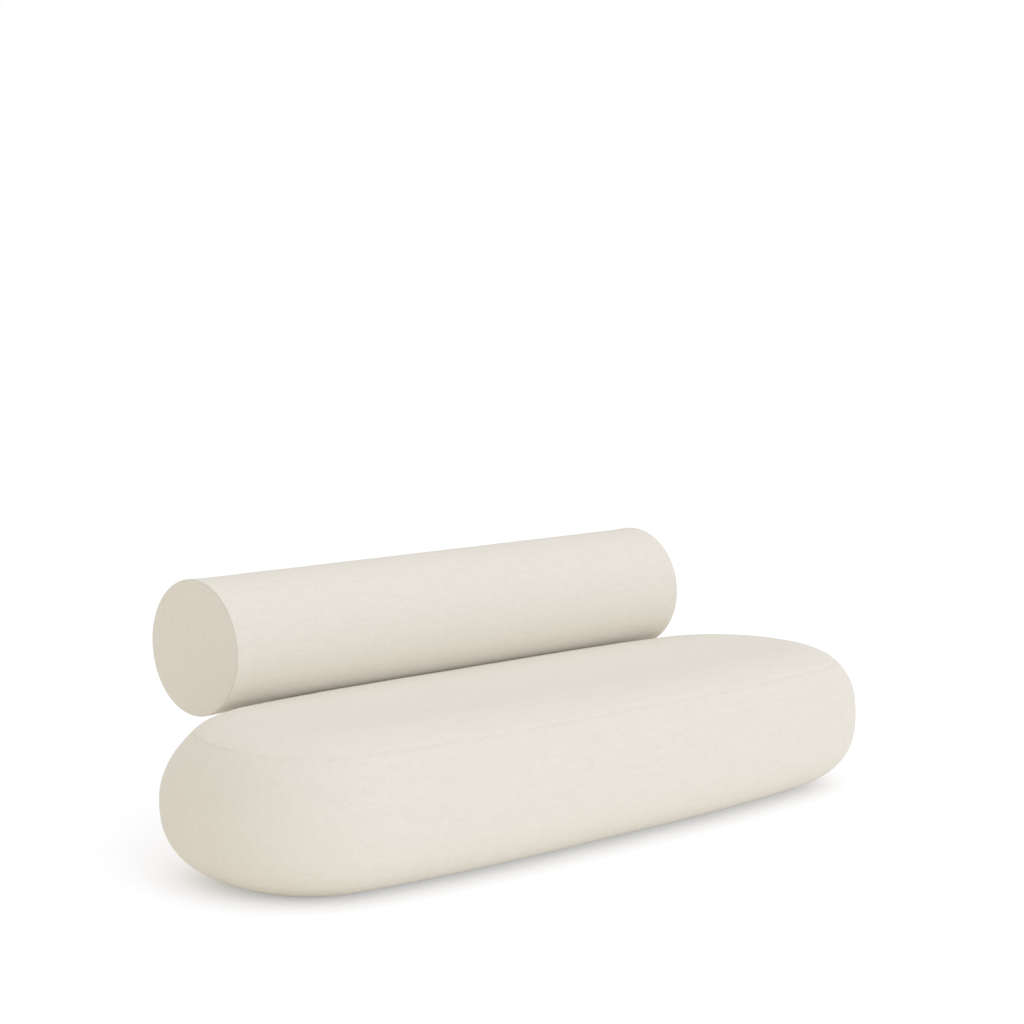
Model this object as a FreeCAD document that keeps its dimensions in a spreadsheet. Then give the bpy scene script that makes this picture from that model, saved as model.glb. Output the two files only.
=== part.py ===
import FreeCAD, Part
import math
import os

import Sketcher
from FreeCAD import Placement, Rotation, Vector

# Upholstered sofa: a pebble-shaped seat and a bolster back on hidden steel brackets.
# Millimetres. +X along the sofa, -Y to the front, +Z up.
# The origin lies on the floor under the middle of the whole sofa.

doc = FreeCAD.newDocument("sofa")

# Driving sizes
SIZES = (
    # seat body, measured over the cover
    ("seat_length", 2412, "length of the seat at its bulge"),
    ("seat_depth", 864, "depth of the seat at its bulge"),
    ("seat_height", 422, "top of the seat above the floor"),
    ("front_straight", 480, "straight run in the middle of the front and the back"),
    ("front_radius", 5000, "gentle bow of the front towards the corners"),
    ("corner_radius", 370, "corner of the seat in plan"),
    ("end_radius", 1450, "rounded end of the seat in plan"),
    ("bulge_height", 222, "height of the widest line of the side wall"),
    ("foot_inset", 175, "how far the flat underside lies in from the bulge"),
    ("foot_swell", 2.8, "exponent of height in the curve below the bulge"),
    ("foot_round", 1.4, "exponent of width in the curve below the bulge"),
    ("crown_inset", 252, "how far the flat of the top lies in from the bulge"),
    ("shoulder_swell", 1.5, "exponent of height in the curve above the bulge"),
    ("shoulder_round", 3.5, "exponent of width in the curve above the bulge"),
    ("seam_drop", 44, "sewn seam between the side cover and the top cover, below the top of the seat"),
    ("seam_depth", 2, "how far the seam draws the cover in"),
    ("seam_reach", 6, "how far above and below the seam the cover dips"),
    ("cover_thickness", 4, "felted cover with its backing"),
    ("hem_width", 18, "cover turned under the base"),
    ("soft_gap", 0.3, "clearance around soft pieces"),
    # underside
    ("glide_height", 5, "underside of the cover above the floor"),
    ("glide_radius", 25, "floor glide"),
    ("glide_chamfer", 2, "edge of a floor glide"),
    ("glide_side_margin", 33, "centre of a glide in from the edge of the turned hem"),
    ("glide_end_margin", 140, "centre of an outer glide in from an end rail's outside"),
    ("dust_cover_thickness", 1, "cloth under the base"),
    ("base_thickness", 18, "plywood base board"),
    ("base_margin", 3, "edge of the base board in from the edge of the flat underside"),
    # box frame
    ("frame_step", 19, "front and rear rails in from the edge of the base board"),
    ("frame_end_step", 128, "end rails in from the ends of the base board"),
    ("rail_height", 215, "front and rear rails"),
    ("rail_thickness", 25, "rails of the box frame"),
    ("rib_thickness", 30, "cross ribs"),
    ("rib_drop", 45, "top of the ribs below the webbing, so that it can give"),
    ("outer_rib_offset", 180, "outer ribs outside the outer brackets"),
    ("strap_width", 70, "webbing strap"),
    ("strap_thickness", 2, "webbing strap"),
    ("strap_margin", 5, "end of a strap in from the outside of the frame"),
    ("cross_strap_end", 125, "middle of the outer cross straps in from the ends of the frame"),
    ("long_strap_side", 110, "middle of the outer long straps in from the front and back of the frame"),
    ("topper_thickness", 92, "soft topper at the top of the seat"),
    # bolster back
    ("bolster_length", 1745, "bolster over the rims of its end caps"),
    ("bolster_radius", 185, "bolster over its cover"),
    ("bolster_press", 3, "how far the bolster settles into the seat's shoulder"),
    ("contact_inset", 98.5, "where it lies on the shoulder, in from the bulge"),
    ("rim_bend", 2, "inside bend of the rim of an end cap"),
    ("cap_crown", 5, "swell of an end cap"),
    ("wadding_thickness", 12, "wadding round the foam log"),
    ("pad_thickness", 12, "soft pad under an end cap"),
    ("disc_thickness", 18, "plywood disc at each end of the core"),
    ("tube_radius", 30, "steel core tube"),
    ("tube_wall", 3, "steel core tube"),
    ("flange_radius", 70, "steel flange that carries a disc"),
    ("flange_thickness", 5, "steel flange that carries a disc"),
    ("flange_screw_circle", 52, "radius of the circle of flange screws"),
    # brackets that carry the core tube
    ("bracket_spacing", 500, "distance from one bracket to the next"),
    ("bracket_width", 60, "flat bar of a bracket"),
    ("bracket_thickness", 8, "flat bar of a bracket"),
    ("bracket_foot", 70, "lower end of a bracket above the floor"),
    ("bolt_radius", 4, "bracket bolt"),
    ("bolt_clearance", 0.5, "bolt in its hole, all round"),
    ("bolt_pitch", 30, "bracket bolts, side to side"),
    ("bolt_rise", 90, "bracket bolts, one above the other"),
    ("bolt_edge", 30, "lower bolts above the foot of the bracket"),
    ("head_height", 5.5, "bolt head"),
    ("nut_height", 6.5, "nut"),
    ("hex_radius", 7.5, "bolt head and nut, over the corners"),
    ("washer_radius", 8.5, "washer"),
    ("washer_thickness", 1.6, "washer"),
    ("bolt_end", 3, "bolt past its nut"),
    # small fasteners
    ("screw_radius", 2.5, "wood screw"),
    ("screw_head_radius", 4.5, "wood screw"),
    ("screw_head_height", 3.5, "wood screw"),
    ("screw_bite", 40, "wood screw in the second piece"),
    ("screw_fit", 0.05, "wood screw in its hole, all round"),
    ("short_bite", 12, "short screw in its board"),
    ("staple_length", 12, "hem staple"),
    ("staple_wire", 0.8, "hem staple"),
)

sheet = doc.addObject("Spreadsheet::Sheet", "Sizes")
for row, (alias, value, meaning) in enumerate(SIZES, start=1):
    sheet.set(f"A{row}", meaning)
    sheet.set(f"B{row}", str(value))
    sheet.setAlias(f"B{row}", alias)
doc.recompute()


def size(alias):
    return float(getattr(sheet, alias))


half_length = size("seat_length") / 2
half_depth = size("seat_depth") / 2
gap = size("soft_gap")
seam_height = size("seat_height") - size("seam_drop")
base_inset = size("foot_inset") + size("base_margin")
hem_inset = size("foot_inset") + size("hem_width")
rim_radius = size("rim_bend") + size("cover_thickness")

# Counts of repeated pieces, and shares that set where they stand
CROSS_STRAPS = 11
LONG_STRAPS = 3
FORM_STEPS = 8
STAPLES = 56
FLANGE_SCREWS = 4
HEX_SIDES = 6
CORNER_SHARE = 0.98
RAIL_SCREW_SHARES = (0.25, 0.75)
BASE_SCREW_SHARES = (-0.667, 0, 0.667)
GLIDE_SHARES = (-1, -0.333, 0.333, 1)
VOLUME_SLACK = 0.01


# Side profile of the seat: inset from the bulge and height, by an angle that runs from the bulge to the flat
def profile_point(angle, inset, rise, swell, roundness):
    along = math.sin(angle) ** (2 / swell)
    inward = 1 - max(math.cos(angle), 0.0) ** (2 / roundness)
    return Vector(inset * inward, 0, size("bulge_height") + rise * along)


def foot_point(angle):
    drop = size("glide_height") - size("bulge_height")
    return profile_point(angle, size("foot_inset"), drop, size("foot_swell"), size("foot_round"))


def shoulder_point(angle):
    rise = size("seat_height") - size("bulge_height")
    return profile_point(angle, size("crown_inset"), rise, size("shoulder_swell"), size("shoulder_round"))


def inward_normal(curve, angle, flat_normal):
    step = 1e-4
    if angle < step:
        return Vector(1, 0, 0)
    if angle > math.pi / 2 - step:
        return flat_normal
    run = curve(angle + step) - curve(angle - step)
    normal = Vector(abs(run.z), 0, math.copysign(abs(run.x), flat_normal.z))
    return normal.normalize()


def profile_levels(depth):
    # Inset and height of each level of the form, at a depth under the surface of the cover
    quarter = math.pi / 2
    angles = [quarter * step / FORM_STEPS for step in range(FORM_STEPS + 1)]
    levels = []
    for angle in reversed(angles):
        levels.append(foot_point(angle) + inward_normal(foot_point, angle, Vector(0, 0, 1)) * depth)
    for angle in angles[1:]:
        levels.append(shoulder_point(angle) + inward_normal(shoulder_point, angle, Vector(0, 0, -1)) * depth)
    return [(level.x, level.z) for level in levels]


def shoulder_inset(height):
    # Inset of the cover's surface at a height above the bulge
    share = (height - size("bulge_height")) / (size("seat_height") - size("bulge_height"))
    inward = 1 - (1 - share ** size("shoulder_swell")) ** (1 / size("shoulder_round"))
    return size("crown_inset") * inward


# Where the bolster lies: its axis stands off the shoulder along the shoulder's own normal
contact_cosine = (1 - size("contact_inset") / size("crown_inset")) ** (size("shoulder_round") / 2)
contact_angle = math.acos(contact_cosine)
contact_point = shoulder_point(contact_angle)
contact_normal = inward_normal(shoulder_point, contact_angle, Vector(0, 0, -1))
stand_off = size("bolster_radius") - size("bolster_press")
axis_setback = half_depth - contact_point.x + stand_off * contact_normal.x
axis_height = contact_point.z - stand_off * contact_normal.z
lean = math.degrees(math.atan2(-contact_normal.z, contact_normal.x))
seat_y = (half_depth - axis_setback - size("bolster_radius")) / 2

# Places worked out from the sizes, on a sheet of their own for the expressions
PLACES = {
    "bolster_y": seat_y + axis_setback,
    "bolster_z": axis_height,
    "lean": lean,
    "base_floor": size("glide_height") + size("cover_thickness"),
    "seat_y": seat_y,
    "frame_length": 2 * (half_length - base_inset - size("frame_end_step")),
    "frame_depth": 2 * (half_depth - base_inset - size("frame_step")),
    "topper_floor": size("seat_height") - size("topper_thickness"),
}
PLACES["frame_floor"] = PLACES["base_floor"] + size("base_thickness")
PLACES["rail_top"] = PLACES["frame_floor"] + size("rail_height")
PLACES["rib_height"] = size("rail_height") - size("rib_drop")
PLACES["frame_front"] = seat_y - PLACES["frame_depth"] / 2
PLACES["frame_back"] = seat_y + PLACES["frame_depth"] / 2
PLACES["cross_strap_pitch"] = (PLACES["frame_length"] - 2 * size("cross_strap_end")) / (CROSS_STRAPS - 1)
PLACES["long_strap_pitch"] = (PLACES["frame_depth"] - 2 * size("long_strap_side")) / (LONG_STRAPS - 1)
PLACES["deck_top"] = PLACES["rail_top"] + size("strap_thickness")
PLACES["log_radius"] = size("bolster_radius") - size("cover_thickness") - size("wadding_thickness") - 2 * gap
PLACES["pad_face"] = size("bolster_length") / 2 - size("cover_thickness") - gap
PLACES["disc_face"] = PLACES["pad_face"] - size("pad_thickness")
PLACES["disc_back"] = PLACES["disc_face"] - size("disc_thickness")
PLACES["flange_back"] = PLACES["disc_back"] - size("flange_thickness")

places = doc.addObject("Spreadsheet::Sheet", "Places")
for row, (alias, value) in enumerate(PLACES.items(), start=1):
    places.set(f"A{row}", alias)
    places.set(f"B{row}", repr(value))
    places.setAlias(f"B{row}", alias)
doc.recompute()

bolster_axis = Vector(0, PLACES["bolster_y"], PLACES["bolster_z"])
leg_direction = Vector(0, math.cos(math.radians(lean)), math.sin(math.radians(lean)))

parts = []


def keep(feature):
    parts.append(feature)
    return feature


def solid_piece(label, shape):
    piece = doc.addObject("Part::Feature", label)
    piece.Shape = shape
    piece.Placement = Placement()
    return keep(piece)


# Plan of the seat: straight runs, gently bowed fronts, corners and rounded ends, all tangent to each other
bow_centre = Vector(size("front_straight") / 2, size("front_radius") - half_depth, 0)
end_centre = Vector(half_length - size("end_radius"), 0, 0)


def corner_arc():
    # A corner is a little tighter than one single arc round the whole end, which is all the room that it has
    run = half_length - bow_centre.x
    bow = size("front_radius")
    single_arc = (bow ** 2 - bow_centre.y ** 2 - run ** 2) / (2 * (bow - run))
    radius = min(size("corner_radius"), CORNER_SHARE * single_arc)
    bow_reach = bow - radius
    end_reach = size("end_radius") - radius
    between = end_centre - bow_centre
    along = (between.Length ** 2 + bow_reach ** 2 - end_reach ** 2) / (2 * between.Length)
    aside = math.sqrt(bow_reach ** 2 - along ** 2)
    heading = Vector(between).normalize()
    return bow_centre + heading * along + Vector(-heading.y, heading.x, 0) * aside, radius


corner_centre, corner_radius = corner_arc()


def plan_outline(inset, height):
    bow_end = math.atan2(corner_centre.y - bow_centre.y, corner_centre.x - bow_centre.x)
    end_start = math.atan2(corner_centre.y - end_centre.y, corner_centre.x - end_centre.x)

    def on_arc(centre, radius, angle):
        return centre + Vector(math.cos(angle), math.sin(angle), 0) * (radius - inset)

    bow_mid = (bow_end - math.pi / 2) / 2
    corner_mid = (bow_end + end_start) / 2
    chain = (
        on_arc(bow_centre, size("front_radius"), -math.pi / 2),
        on_arc(bow_centre, size("front_radius"), bow_mid),
        on_arc(bow_centre, size("front_radius"), bow_end),
        on_arc(corner_centre, corner_radius, corner_mid),
        on_arc(end_centre, size("end_radius"), end_start),
        on_arc(end_centre, size("end_radius"), 0),
    )

    def turned(point, x_sign, y_sign):
        return Vector(point.x * x_sign, point.y * y_sign + seat_y, height)

    front_right = [turned(point, 1, 1) for point in chain]
    back_right = [turned(point, 1, -1) for point in chain]
    back_left = [turned(point, -1, -1) for point in chain]
    front_left = [turned(point, -1, 1) for point in chain]
    edges = [Part.LineSegment(front_left[0], front_right[0])]
    edges.append(Part.Arc(*front_right[0:3]))
    edges.append(Part.Arc(*front_right[2:5]))
    edges.append(Part.Arc(front_right[4], front_right[5], back_right[4]))
    edges.append(Part.Arc(*reversed(back_right[2:5])))
    edges.append(Part.Arc(*reversed(back_right[0:3])))
    edges.append(Part.LineSegment(back_right[0], back_left[0]))
    edges.append(Part.Arc(*back_left[0:3]))
    edges.append(Part.Arc(*back_left[2:5]))
    edges.append(Part.Arc(back_left[4], back_left[5], front_left[4]))
    edges.append(Part.Arc(*reversed(front_left[2:5])))
    edges.append(Part.Arc(*reversed(front_left[0:3])))
    return Part.Wire([edge.toShape() for edge in edges])


def plan_slab(inset, floor, top):
    return Part.Face(plan_outline(inset, floor)).extrude(Vector(0, 0, top - floor))


def half_breadth(x, inset):
    # From the middle line of the seat to its outline, measured to the back at x
    middle = Vector(x, seat_y, 0)
    line = Part.makeLine(middle, middle + Vector(0, size("seat_depth"), 0))
    return Part.Face(plan_outline(inset, 0)).common(line).Length


def bolster_cylinder(radius, reach):
    start = bolster_axis - Vector(reach, 0, 0)
    return Part.makeCylinder(radius, 2 * reach, start, Vector(1, 0, 0))


def seat_form(depth):
    # The whole pebble at a depth under the cover's surface, with the hollow that the bolster presses into it
    wires = [plan_outline(inset, height) for inset, height in profile_levels(depth)]
    form = Part.makeLoft(wires, True, False)
    hollow = bolster_cylinder(size("bolster_radius") + gap + depth, half_length)
    return form.cut(hollow)


def layer(floor, top):
    # A block that spans the whole seat between two heights
    span = Vector(2 * size("seat_length"), 2 * size("seat_depth"), top - floor)
    corner = Vector(-span.x / 2, seat_y - span.y / 2, floor)
    return Part.makeBox(span.x, span.y, span.z, corner)


# Brackets stand at the middle and to both sides of it
bracket_places = {
    "left": -size("bracket_spacing"),
    "middle": 0.0,
    "right": size("bracket_spacing"),
}


def bracket_room(x):
    # Room that a bracket, its bolt heads and its washers need in the soft pieces
    width = size("bracket_width") + 2 * gap
    thickness = size("bracket_thickness") + 2 * gap
    leg_run = axis_setback - PLACES["frame_depth"] / 2 - size("bracket_thickness") / 2
    leg_length = leg_run / leg_direction.y + size("bracket_thickness")
    upper = Part.makeBox(width, thickness, leg_length)
    upper.translate(Vector(-width / 2, -thickness / 2, -leg_length))
    turn = Rotation(Vector(0, 0, 1), leg_direction)
    upper.Placement = Placement(bolster_axis + Vector(x, 0, 0), turn).multiply(upper.Placement)
    bolt_room = size("bracket_thickness") + size("washer_thickness") + size("head_height") + gap
    foot = size("bracket_foot") - gap
    lower_height = axis_height - leg_run * leg_direction.z / leg_direction.y - foot
    corner = Vector(x - width / 2, PLACES["frame_back"], foot)
    lower = Part.makeBox(width, bolt_room, lower_height, corner)
    return upper.fuse(lower)


bracket_rooms = [bracket_room(x) for x in bracket_places.values()]
sky = size("seat_height") + size("bolster_radius")


# Covers of the seat: a band from the seam down and under the base, and a crowned top panel
def seat_covers():
    surface = seat_form(0.0)
    under_cover = seat_form(size("cover_thickness"))
    opening = plan_slab(hem_inset, 0.0, PLACES["frame_floor"])
    shell = surface.cut(under_cover).cut(opening)
    seam_line = plan_outline(shoulder_inset(seam_height) + size("seam_depth"), seam_height)
    for piece, floor, top, level in (
        ("seat_side_cover", 0.0, seam_height, seam_height - size("seam_reach")),
        ("seat_top_cover", seam_height, sky, seam_height + size("seam_reach")),
    ):
        rim = plan_outline(shoulder_inset(level), level)
        drawn_in = Part.makeLoft([rim, seam_line], True, True)
        dip = layer(min(level, seam_height), max(level, seam_height)).cut(drawn_in)
        solid_piece(piece, shell.common(layer(floor, top)).cut([dip] + bracket_rooms))


# Foam of the seat: a moulded ring round the frame, a firm block on the webbing, and a soft topper over both
def seat_foam():
    form = seat_form(size("cover_thickness") + gap)
    topper = form.common(layer(PLACES["topper_floor"], sky)).cut(bracket_rooms)
    solid_piece("top_foam", topper)
    frame_room = Part.makeBox(
        PLACES["frame_length"] + 2 * gap,
        PLACES["frame_depth"] + 2 * gap,
        PLACES["topper_floor"],
        Vector(-PLACES["frame_length"] / 2 - gap, PLACES["frame_front"] - gap, 0),
    )
    base_room = plan_slab(base_inset - gap, 0.0, PLACES["frame_floor"])
    ring = form.common(layer(0.0, PLACES["topper_floor"]))
    solid_piece("side_foam", ring.cut([frame_room, base_room] + bracket_rooms))


def block(label, corner, extent):
    # A squared piece, with its place and size bound to the sheets
    box = doc.addObject("Part::Box", label)
    for axis, expression in zip("xyz", corner):
        box.setExpression(f"Placement.Base.{axis}", expression)
    for side, expression in zip(("Length", "Width", "Height"), extent):
        box.setExpression(side, expression)
    return box


def drilled(label, blank, holes):
    # The blank with its holes cut, under the piece's own name
    drilling = doc.addObject("Part::Feature", label + "_drilling")
    drilling.Shape = Part.makeCompound(holes)
    piece = doc.addObject("Part::Cut", label)
    piece.Base = blank
    piece.Tool = drilling
    return keep(piece)


def rod(radius, start, end):
    run = end - start
    return Part.makeCylinder(radius, run.Length, start, run)


class Screw:
    # A wood screw with a sunk flat head: head is the outer face's point, and run points into the wood
    def __init__(self, head, run, length):
        self.head = head
        self.run = run
        self.length = length

    def body(self, slack):
        sunk = self.head + self.run * size("screw_head_height")
        head = rod(size("screw_head_radius") + slack, self.head, sunk)
        shank = rod(size("screw_radius") + slack, self.head, self.head + self.run * self.length)
        return head.fuse(shank).removeSplitter()

    def solid(self):
        return self.body(0.0)

    def hole(self):
        return self.body(size("screw_fit"))


# Cross pieces of the box frame: their middles along X, thickness and height
cross_pieces = {
    "left_end_rail": -(PLACES["frame_length"] - size("rail_thickness")) / 2,
    "cross_rib_1": -size("bracket_spacing") - size("outer_rib_offset"),
    "cross_rib_2": -size("bracket_spacing") / 2,
    "cross_rib_3": size("bracket_spacing") / 2,
    "cross_rib_4": size("bracket_spacing") + size("outer_rib_offset"),
    "right_end_rail": (PLACES["frame_length"] - size("rail_thickness")) / 2,
}
rail_inner_depth = PLACES["frame_depth"] / 2 - size("rail_thickness")

# Screws through the rails into the cross pieces, one low and one high at each end
screw_levels = [PLACES["frame_floor"] + share * PLACES["rib_height"] for share in RAIL_SCREW_SHARES]
rail_screws = {"front_rail": [], "rear_rail": []}
for middle in cross_pieces.values():
    for level in screw_levels:
        for rail, face, run in (
            ("front_rail", PLACES["frame_front"], Vector(0, 1, 0)),
            ("rear_rail", PLACES["frame_back"], Vector(0, -1, 0)),
        ):
            length = size("rail_thickness") + size("screw_bite")
            rail_screws[rail].append(Screw(Vector(middle, face, level), run, length))

# Screws up through the base board into every cross piece
base_screws = []
for middle in cross_pieces.values():
    for share in BASE_SCREW_SHARES:
        head = Vector(middle, seat_y + share * rail_inner_depth, PLACES["base_floor"])
        base_screws.append(Screw(head, Vector(0, 0, 1), size("base_thickness") + size("screw_bite")))

# Floor glides stand under the base board in two rows, clear of the turned hem, each on a screw
glide_x = PLACES["frame_length"] / 2 - size("glide_end_margin")
glide_y = half_breadth(glide_x + size("glide_radius"), hem_inset) - size("glide_side_margin")
glide_places = [
    Vector(share * glide_x, seat_y + side * glide_y, 0)
    for share in GLIDE_SHARES
    for side in (-1, 1)
]
glide_top = PLACES["base_floor"] - size("dust_cover_thickness")
glide_screws = [
    Screw(
        place + Vector(0, 0, glide_top - size("screw_head_height")),
        Vector(0, 0, 1),
        size("screw_head_height") + size("dust_cover_thickness") + size("short_bite"),
    )
    for place in glide_places
]

# Bolts of the brackets, through the bracket and the rear rail
bolt_rows = (
    size("bracket_foot") + size("bolt_edge"),
    size("bracket_foot") + size("bolt_edge") + size("bolt_rise"),
)
bolt_places = [
    Vector(x + side * size("bolt_pitch") / 2, PLACES["frame_back"], row)
    for x in bracket_places.values()
    for row in bolt_rows
    for side in (-1, 1)
]
bolt_hole_radius = size("bolt_radius") + size("bolt_clearance")


def base_and_underside():
    board = plan_slab(base_inset, PLACES["base_floor"], PLACES["frame_floor"])
    holes = [screw.hole() for screw in base_screws + glide_screws]
    solid_piece("base_board", board.cut(holes))
    cloth = plan_slab(hem_inset + gap, glide_top, PLACES["base_floor"])
    solid_piece("dust_cover", cloth.cut([screw.hole() for screw in glide_screws]))
    solid_piece("base_screws", Part.makeCompound([screw.solid() for screw in base_screws]))
    solid_piece("glide_screws", Part.makeCompound([screw.solid() for screw in glide_screws]))


def sketch_on(body, role, name):
    plane = [feature for feature in body.Origin.OriginFeatures if feature.Role == role][0]
    sketch = body.newObject("Sketcher::SketchObject", name)
    sketch.AttachmentSupport = [(plane, "")]
    sketch.MapMode = "FlatFace"
    return sketch


def bound(sketch, constraint, name, expression):
    index = sketch.addConstraint(constraint)
    sketch.renameConstraint(index, name)
    sketch.setExpression(f"Constraints.{name}", expression)


def bound_circle(sketch, name, radius, expression):
    circle = sketch.addGeometry(Part.Circle(Vector(), Vector(0, 0, 1), radius), False)
    sketch.addConstraint(Sketcher.Constraint("Coincident", circle, 3, -1, 1))
    bound(sketch, Sketcher.Constraint("Radius", circle, radius), name, expression)


def place_bound(body, x, y, z):
    for axis, expression in zip("xyz", (x, y, z)):
        body.setExpression(f"Placement.Base.{axis}", expression)


def floor_glides():
    # One glide is turned from its half section, with a bored top for its screw, and stood at each place
    body = doc.addObject("PartDesign::Body", "glide_pattern")
    sketch = sketch_on(body, "XZ_Plane", "glide_section")
    radius = size("glide_radius")
    chamfer = size("glide_chamfer")
    corners = (
        Vector(0, 0, 0),
        Vector(radius - chamfer, 0, 0),
        Vector(radius, chamfer, 0),
        Vector(radius, glide_top, 0),
        Vector(0, glide_top, 0),
    )
    for index, corner in enumerate(corners):
        sketch.addGeometry(Part.LineSegment(corner, corners[(index + 1) % len(corners)]), False)
    for index in range(len(corners)):
        following = (index + 1) % len(corners)
        sketch.addConstraint(Sketcher.Constraint("Coincident", index, 2, following, 1))
    sketch.addConstraint(Sketcher.Constraint("Coincident", 0, 1, -1, 1))
    sketch.addConstraint(Sketcher.Constraint("Horizontal", 0))
    sketch.addConstraint(Sketcher.Constraint("Vertical", 2))
    sketch.addConstraint(Sketcher.Constraint("Horizontal", 3))
    sketch.addConstraint(Sketcher.Constraint("Vertical", 4))
    bound(sketch, Sketcher.Constraint("DistanceX", 3, 2, 3, 1, radius), "radius", "Sizes.glide_radius")
    height = "Places.base_floor - Sizes.dust_cover_thickness"
    bound(sketch, Sketcher.Constraint("DistanceY", 4, 2, 4, 1, glide_top), "height", height)
    rise = Sketcher.Constraint("DistanceY", 1, 1, 1, 2, chamfer)
    bound(sketch, rise, "chamfer_rise", "Sizes.glide_chamfer")
    run = Sketcher.Constraint("DistanceX", 1, 1, 1, 2, chamfer)
    bound(sketch, run, "chamfer_run", "Sizes.glide_chamfer")
    turning = body.newObject("PartDesign::Revolution", "glide_turning")
    turning.Profile = sketch
    turning.ReferenceAxis = (sketch, ["V_Axis"])
    turning.Angle = 360
    doc.recompute()
    glides = []
    for place, screw in zip(glide_places, glide_screws):
        glide = body.Shape.copy()
        glide.translate(place)
        glides.append(glide.cut(screw.hole()))
    solid_piece("floor_glides", Part.makeCompound(glides))


def box_frame():
    rail_extent = ("Places.frame_length", "Sizes.rail_thickness", "Sizes.rail_height")
    rail_fronts = {
        "front_rail": "Places.frame_front",
        "rear_rail": "Places.frame_back - Sizes.rail_thickness",
    }
    for rail, front in rail_fronts.items():
        corner = ("-Places.frame_length / 2", front, "Places.frame_floor")
        blank = block(rail + "_blank", corner, rail_extent)
        holes = [screw.hole() for screw in rail_screws[rail]]
        if rail == "rear_rail":
            through = Vector(0, size("rail_thickness"), 0)
            holes += [rod(bolt_hole_radius, place - through, place) for place in bolt_places]
        drilled(rail, blank, holes)
    cross_middles = {
        "left_end_rail": "(Sizes.rail_thickness - Places.frame_length) / 2",
        "cross_rib_1": "-Sizes.bracket_spacing - Sizes.outer_rib_offset",
        "cross_rib_2": "-Sizes.bracket_spacing / 2",
        "cross_rib_3": "Sizes.bracket_spacing / 2",
        "cross_rib_4": "Sizes.bracket_spacing + Sizes.outer_rib_offset",
        "right_end_rail": "(Places.frame_length - Sizes.rail_thickness) / 2",
    }
    for piece, middle in cross_middles.items():
        end_rail = piece.endswith("end_rail")
        thickness = "Sizes.rail_thickness" if end_rail else "Sizes.rib_thickness"
        height = "Sizes.rail_height - Sizes.strap_thickness" if end_rail else "Places.rib_height"
        corner = (
            f"{middle} - {thickness} / 2",
            "Places.frame_front + Sizes.rail_thickness",
            "Places.frame_floor",
        )
        extent = (thickness, "Places.frame_depth - 2 * Sizes.rail_thickness", height)
        blank = block(piece + "_blank", corner, extent)
        screws = [
            screw
            for screw in rail_screws["front_rail"] + rail_screws["rear_rail"] + base_screws
            if abs(screw.head.x - cross_pieces[piece]) < size("screw_radius")
        ]
        drilled(piece, blank, [screw.hole() for screw in screws])
    everyone = rail_screws["front_rail"] + rail_screws["rear_rail"]
    solid_piece("rail_screws", Part.makeCompound([screw.solid() for screw in everyone]))


def webbing():
    # Long straps lie on the end rails, and cross straps on the long straps and on the front and rear rails
    for index in range(LONG_STRAPS):
        offset = index - (LONG_STRAPS - 1) / 2
        middle = f"Places.seat_y + {offset} * Places.long_strap_pitch"
        corner = (
            "Sizes.strap_margin - Places.frame_length / 2",
            f"{middle} - Sizes.strap_width / 2",
            "Places.rail_top - Sizes.strap_thickness",
        )
        length = "Places.frame_length - 2 * Sizes.strap_margin"
        extent = (length, "Sizes.strap_width", "Sizes.strap_thickness")
        keep(block(f"long_strap_{index + 1}", corner, extent))
    for index in range(CROSS_STRAPS):
        offset = index - (CROSS_STRAPS - 1) / 2
        corner = (
            f"{offset} * Places.cross_strap_pitch - Sizes.strap_width / 2",
            "Places.frame_front + Sizes.strap_margin",
            "Places.rail_top",
        )
        length = "Places.frame_depth - 2 * Sizes.strap_margin"
        extent = ("Sizes.strap_width", length, "Sizes.strap_thickness")
        keep(block(f"cross_strap_{index + 1:02d}", corner, extent))


def core_foam():
    corner = ("-Places.frame_length / 2", "Places.frame_front", "Places.deck_top")
    extent = ("Places.frame_length", "Places.frame_depth", "Places.topper_floor - Places.deck_top")
    keep(block("core_foam", corner, extent))


def hem_staples():
    # Staples lie flat on the turned hem, spaced evenly along it
    line = plan_outline(size("foot_inset") + size("hem_width") / 2, size("glide_height"))
    points = line.discretize(Number=STAPLES + 1)
    staples = []
    for here, after in zip(points[:-1], points[1:]):
        staple = Part.makeBox(size("staple_length"), size("staple_wire"), size("staple_wire"))
        staple.translate(Vector(-size("staple_length") / 2, -size("staple_wire") / 2, -size("staple_wire")))
        heading = math.degrees(math.atan2(after.y - here.y, after.x - here.x))
        staple.Placement = Placement(here, Rotation(Vector(0, 0, 1), heading)).multiply(staple.Placement)
        staples.append(staple)
    solid_piece("hem_staples", Part.makeCompound(staples))


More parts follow.
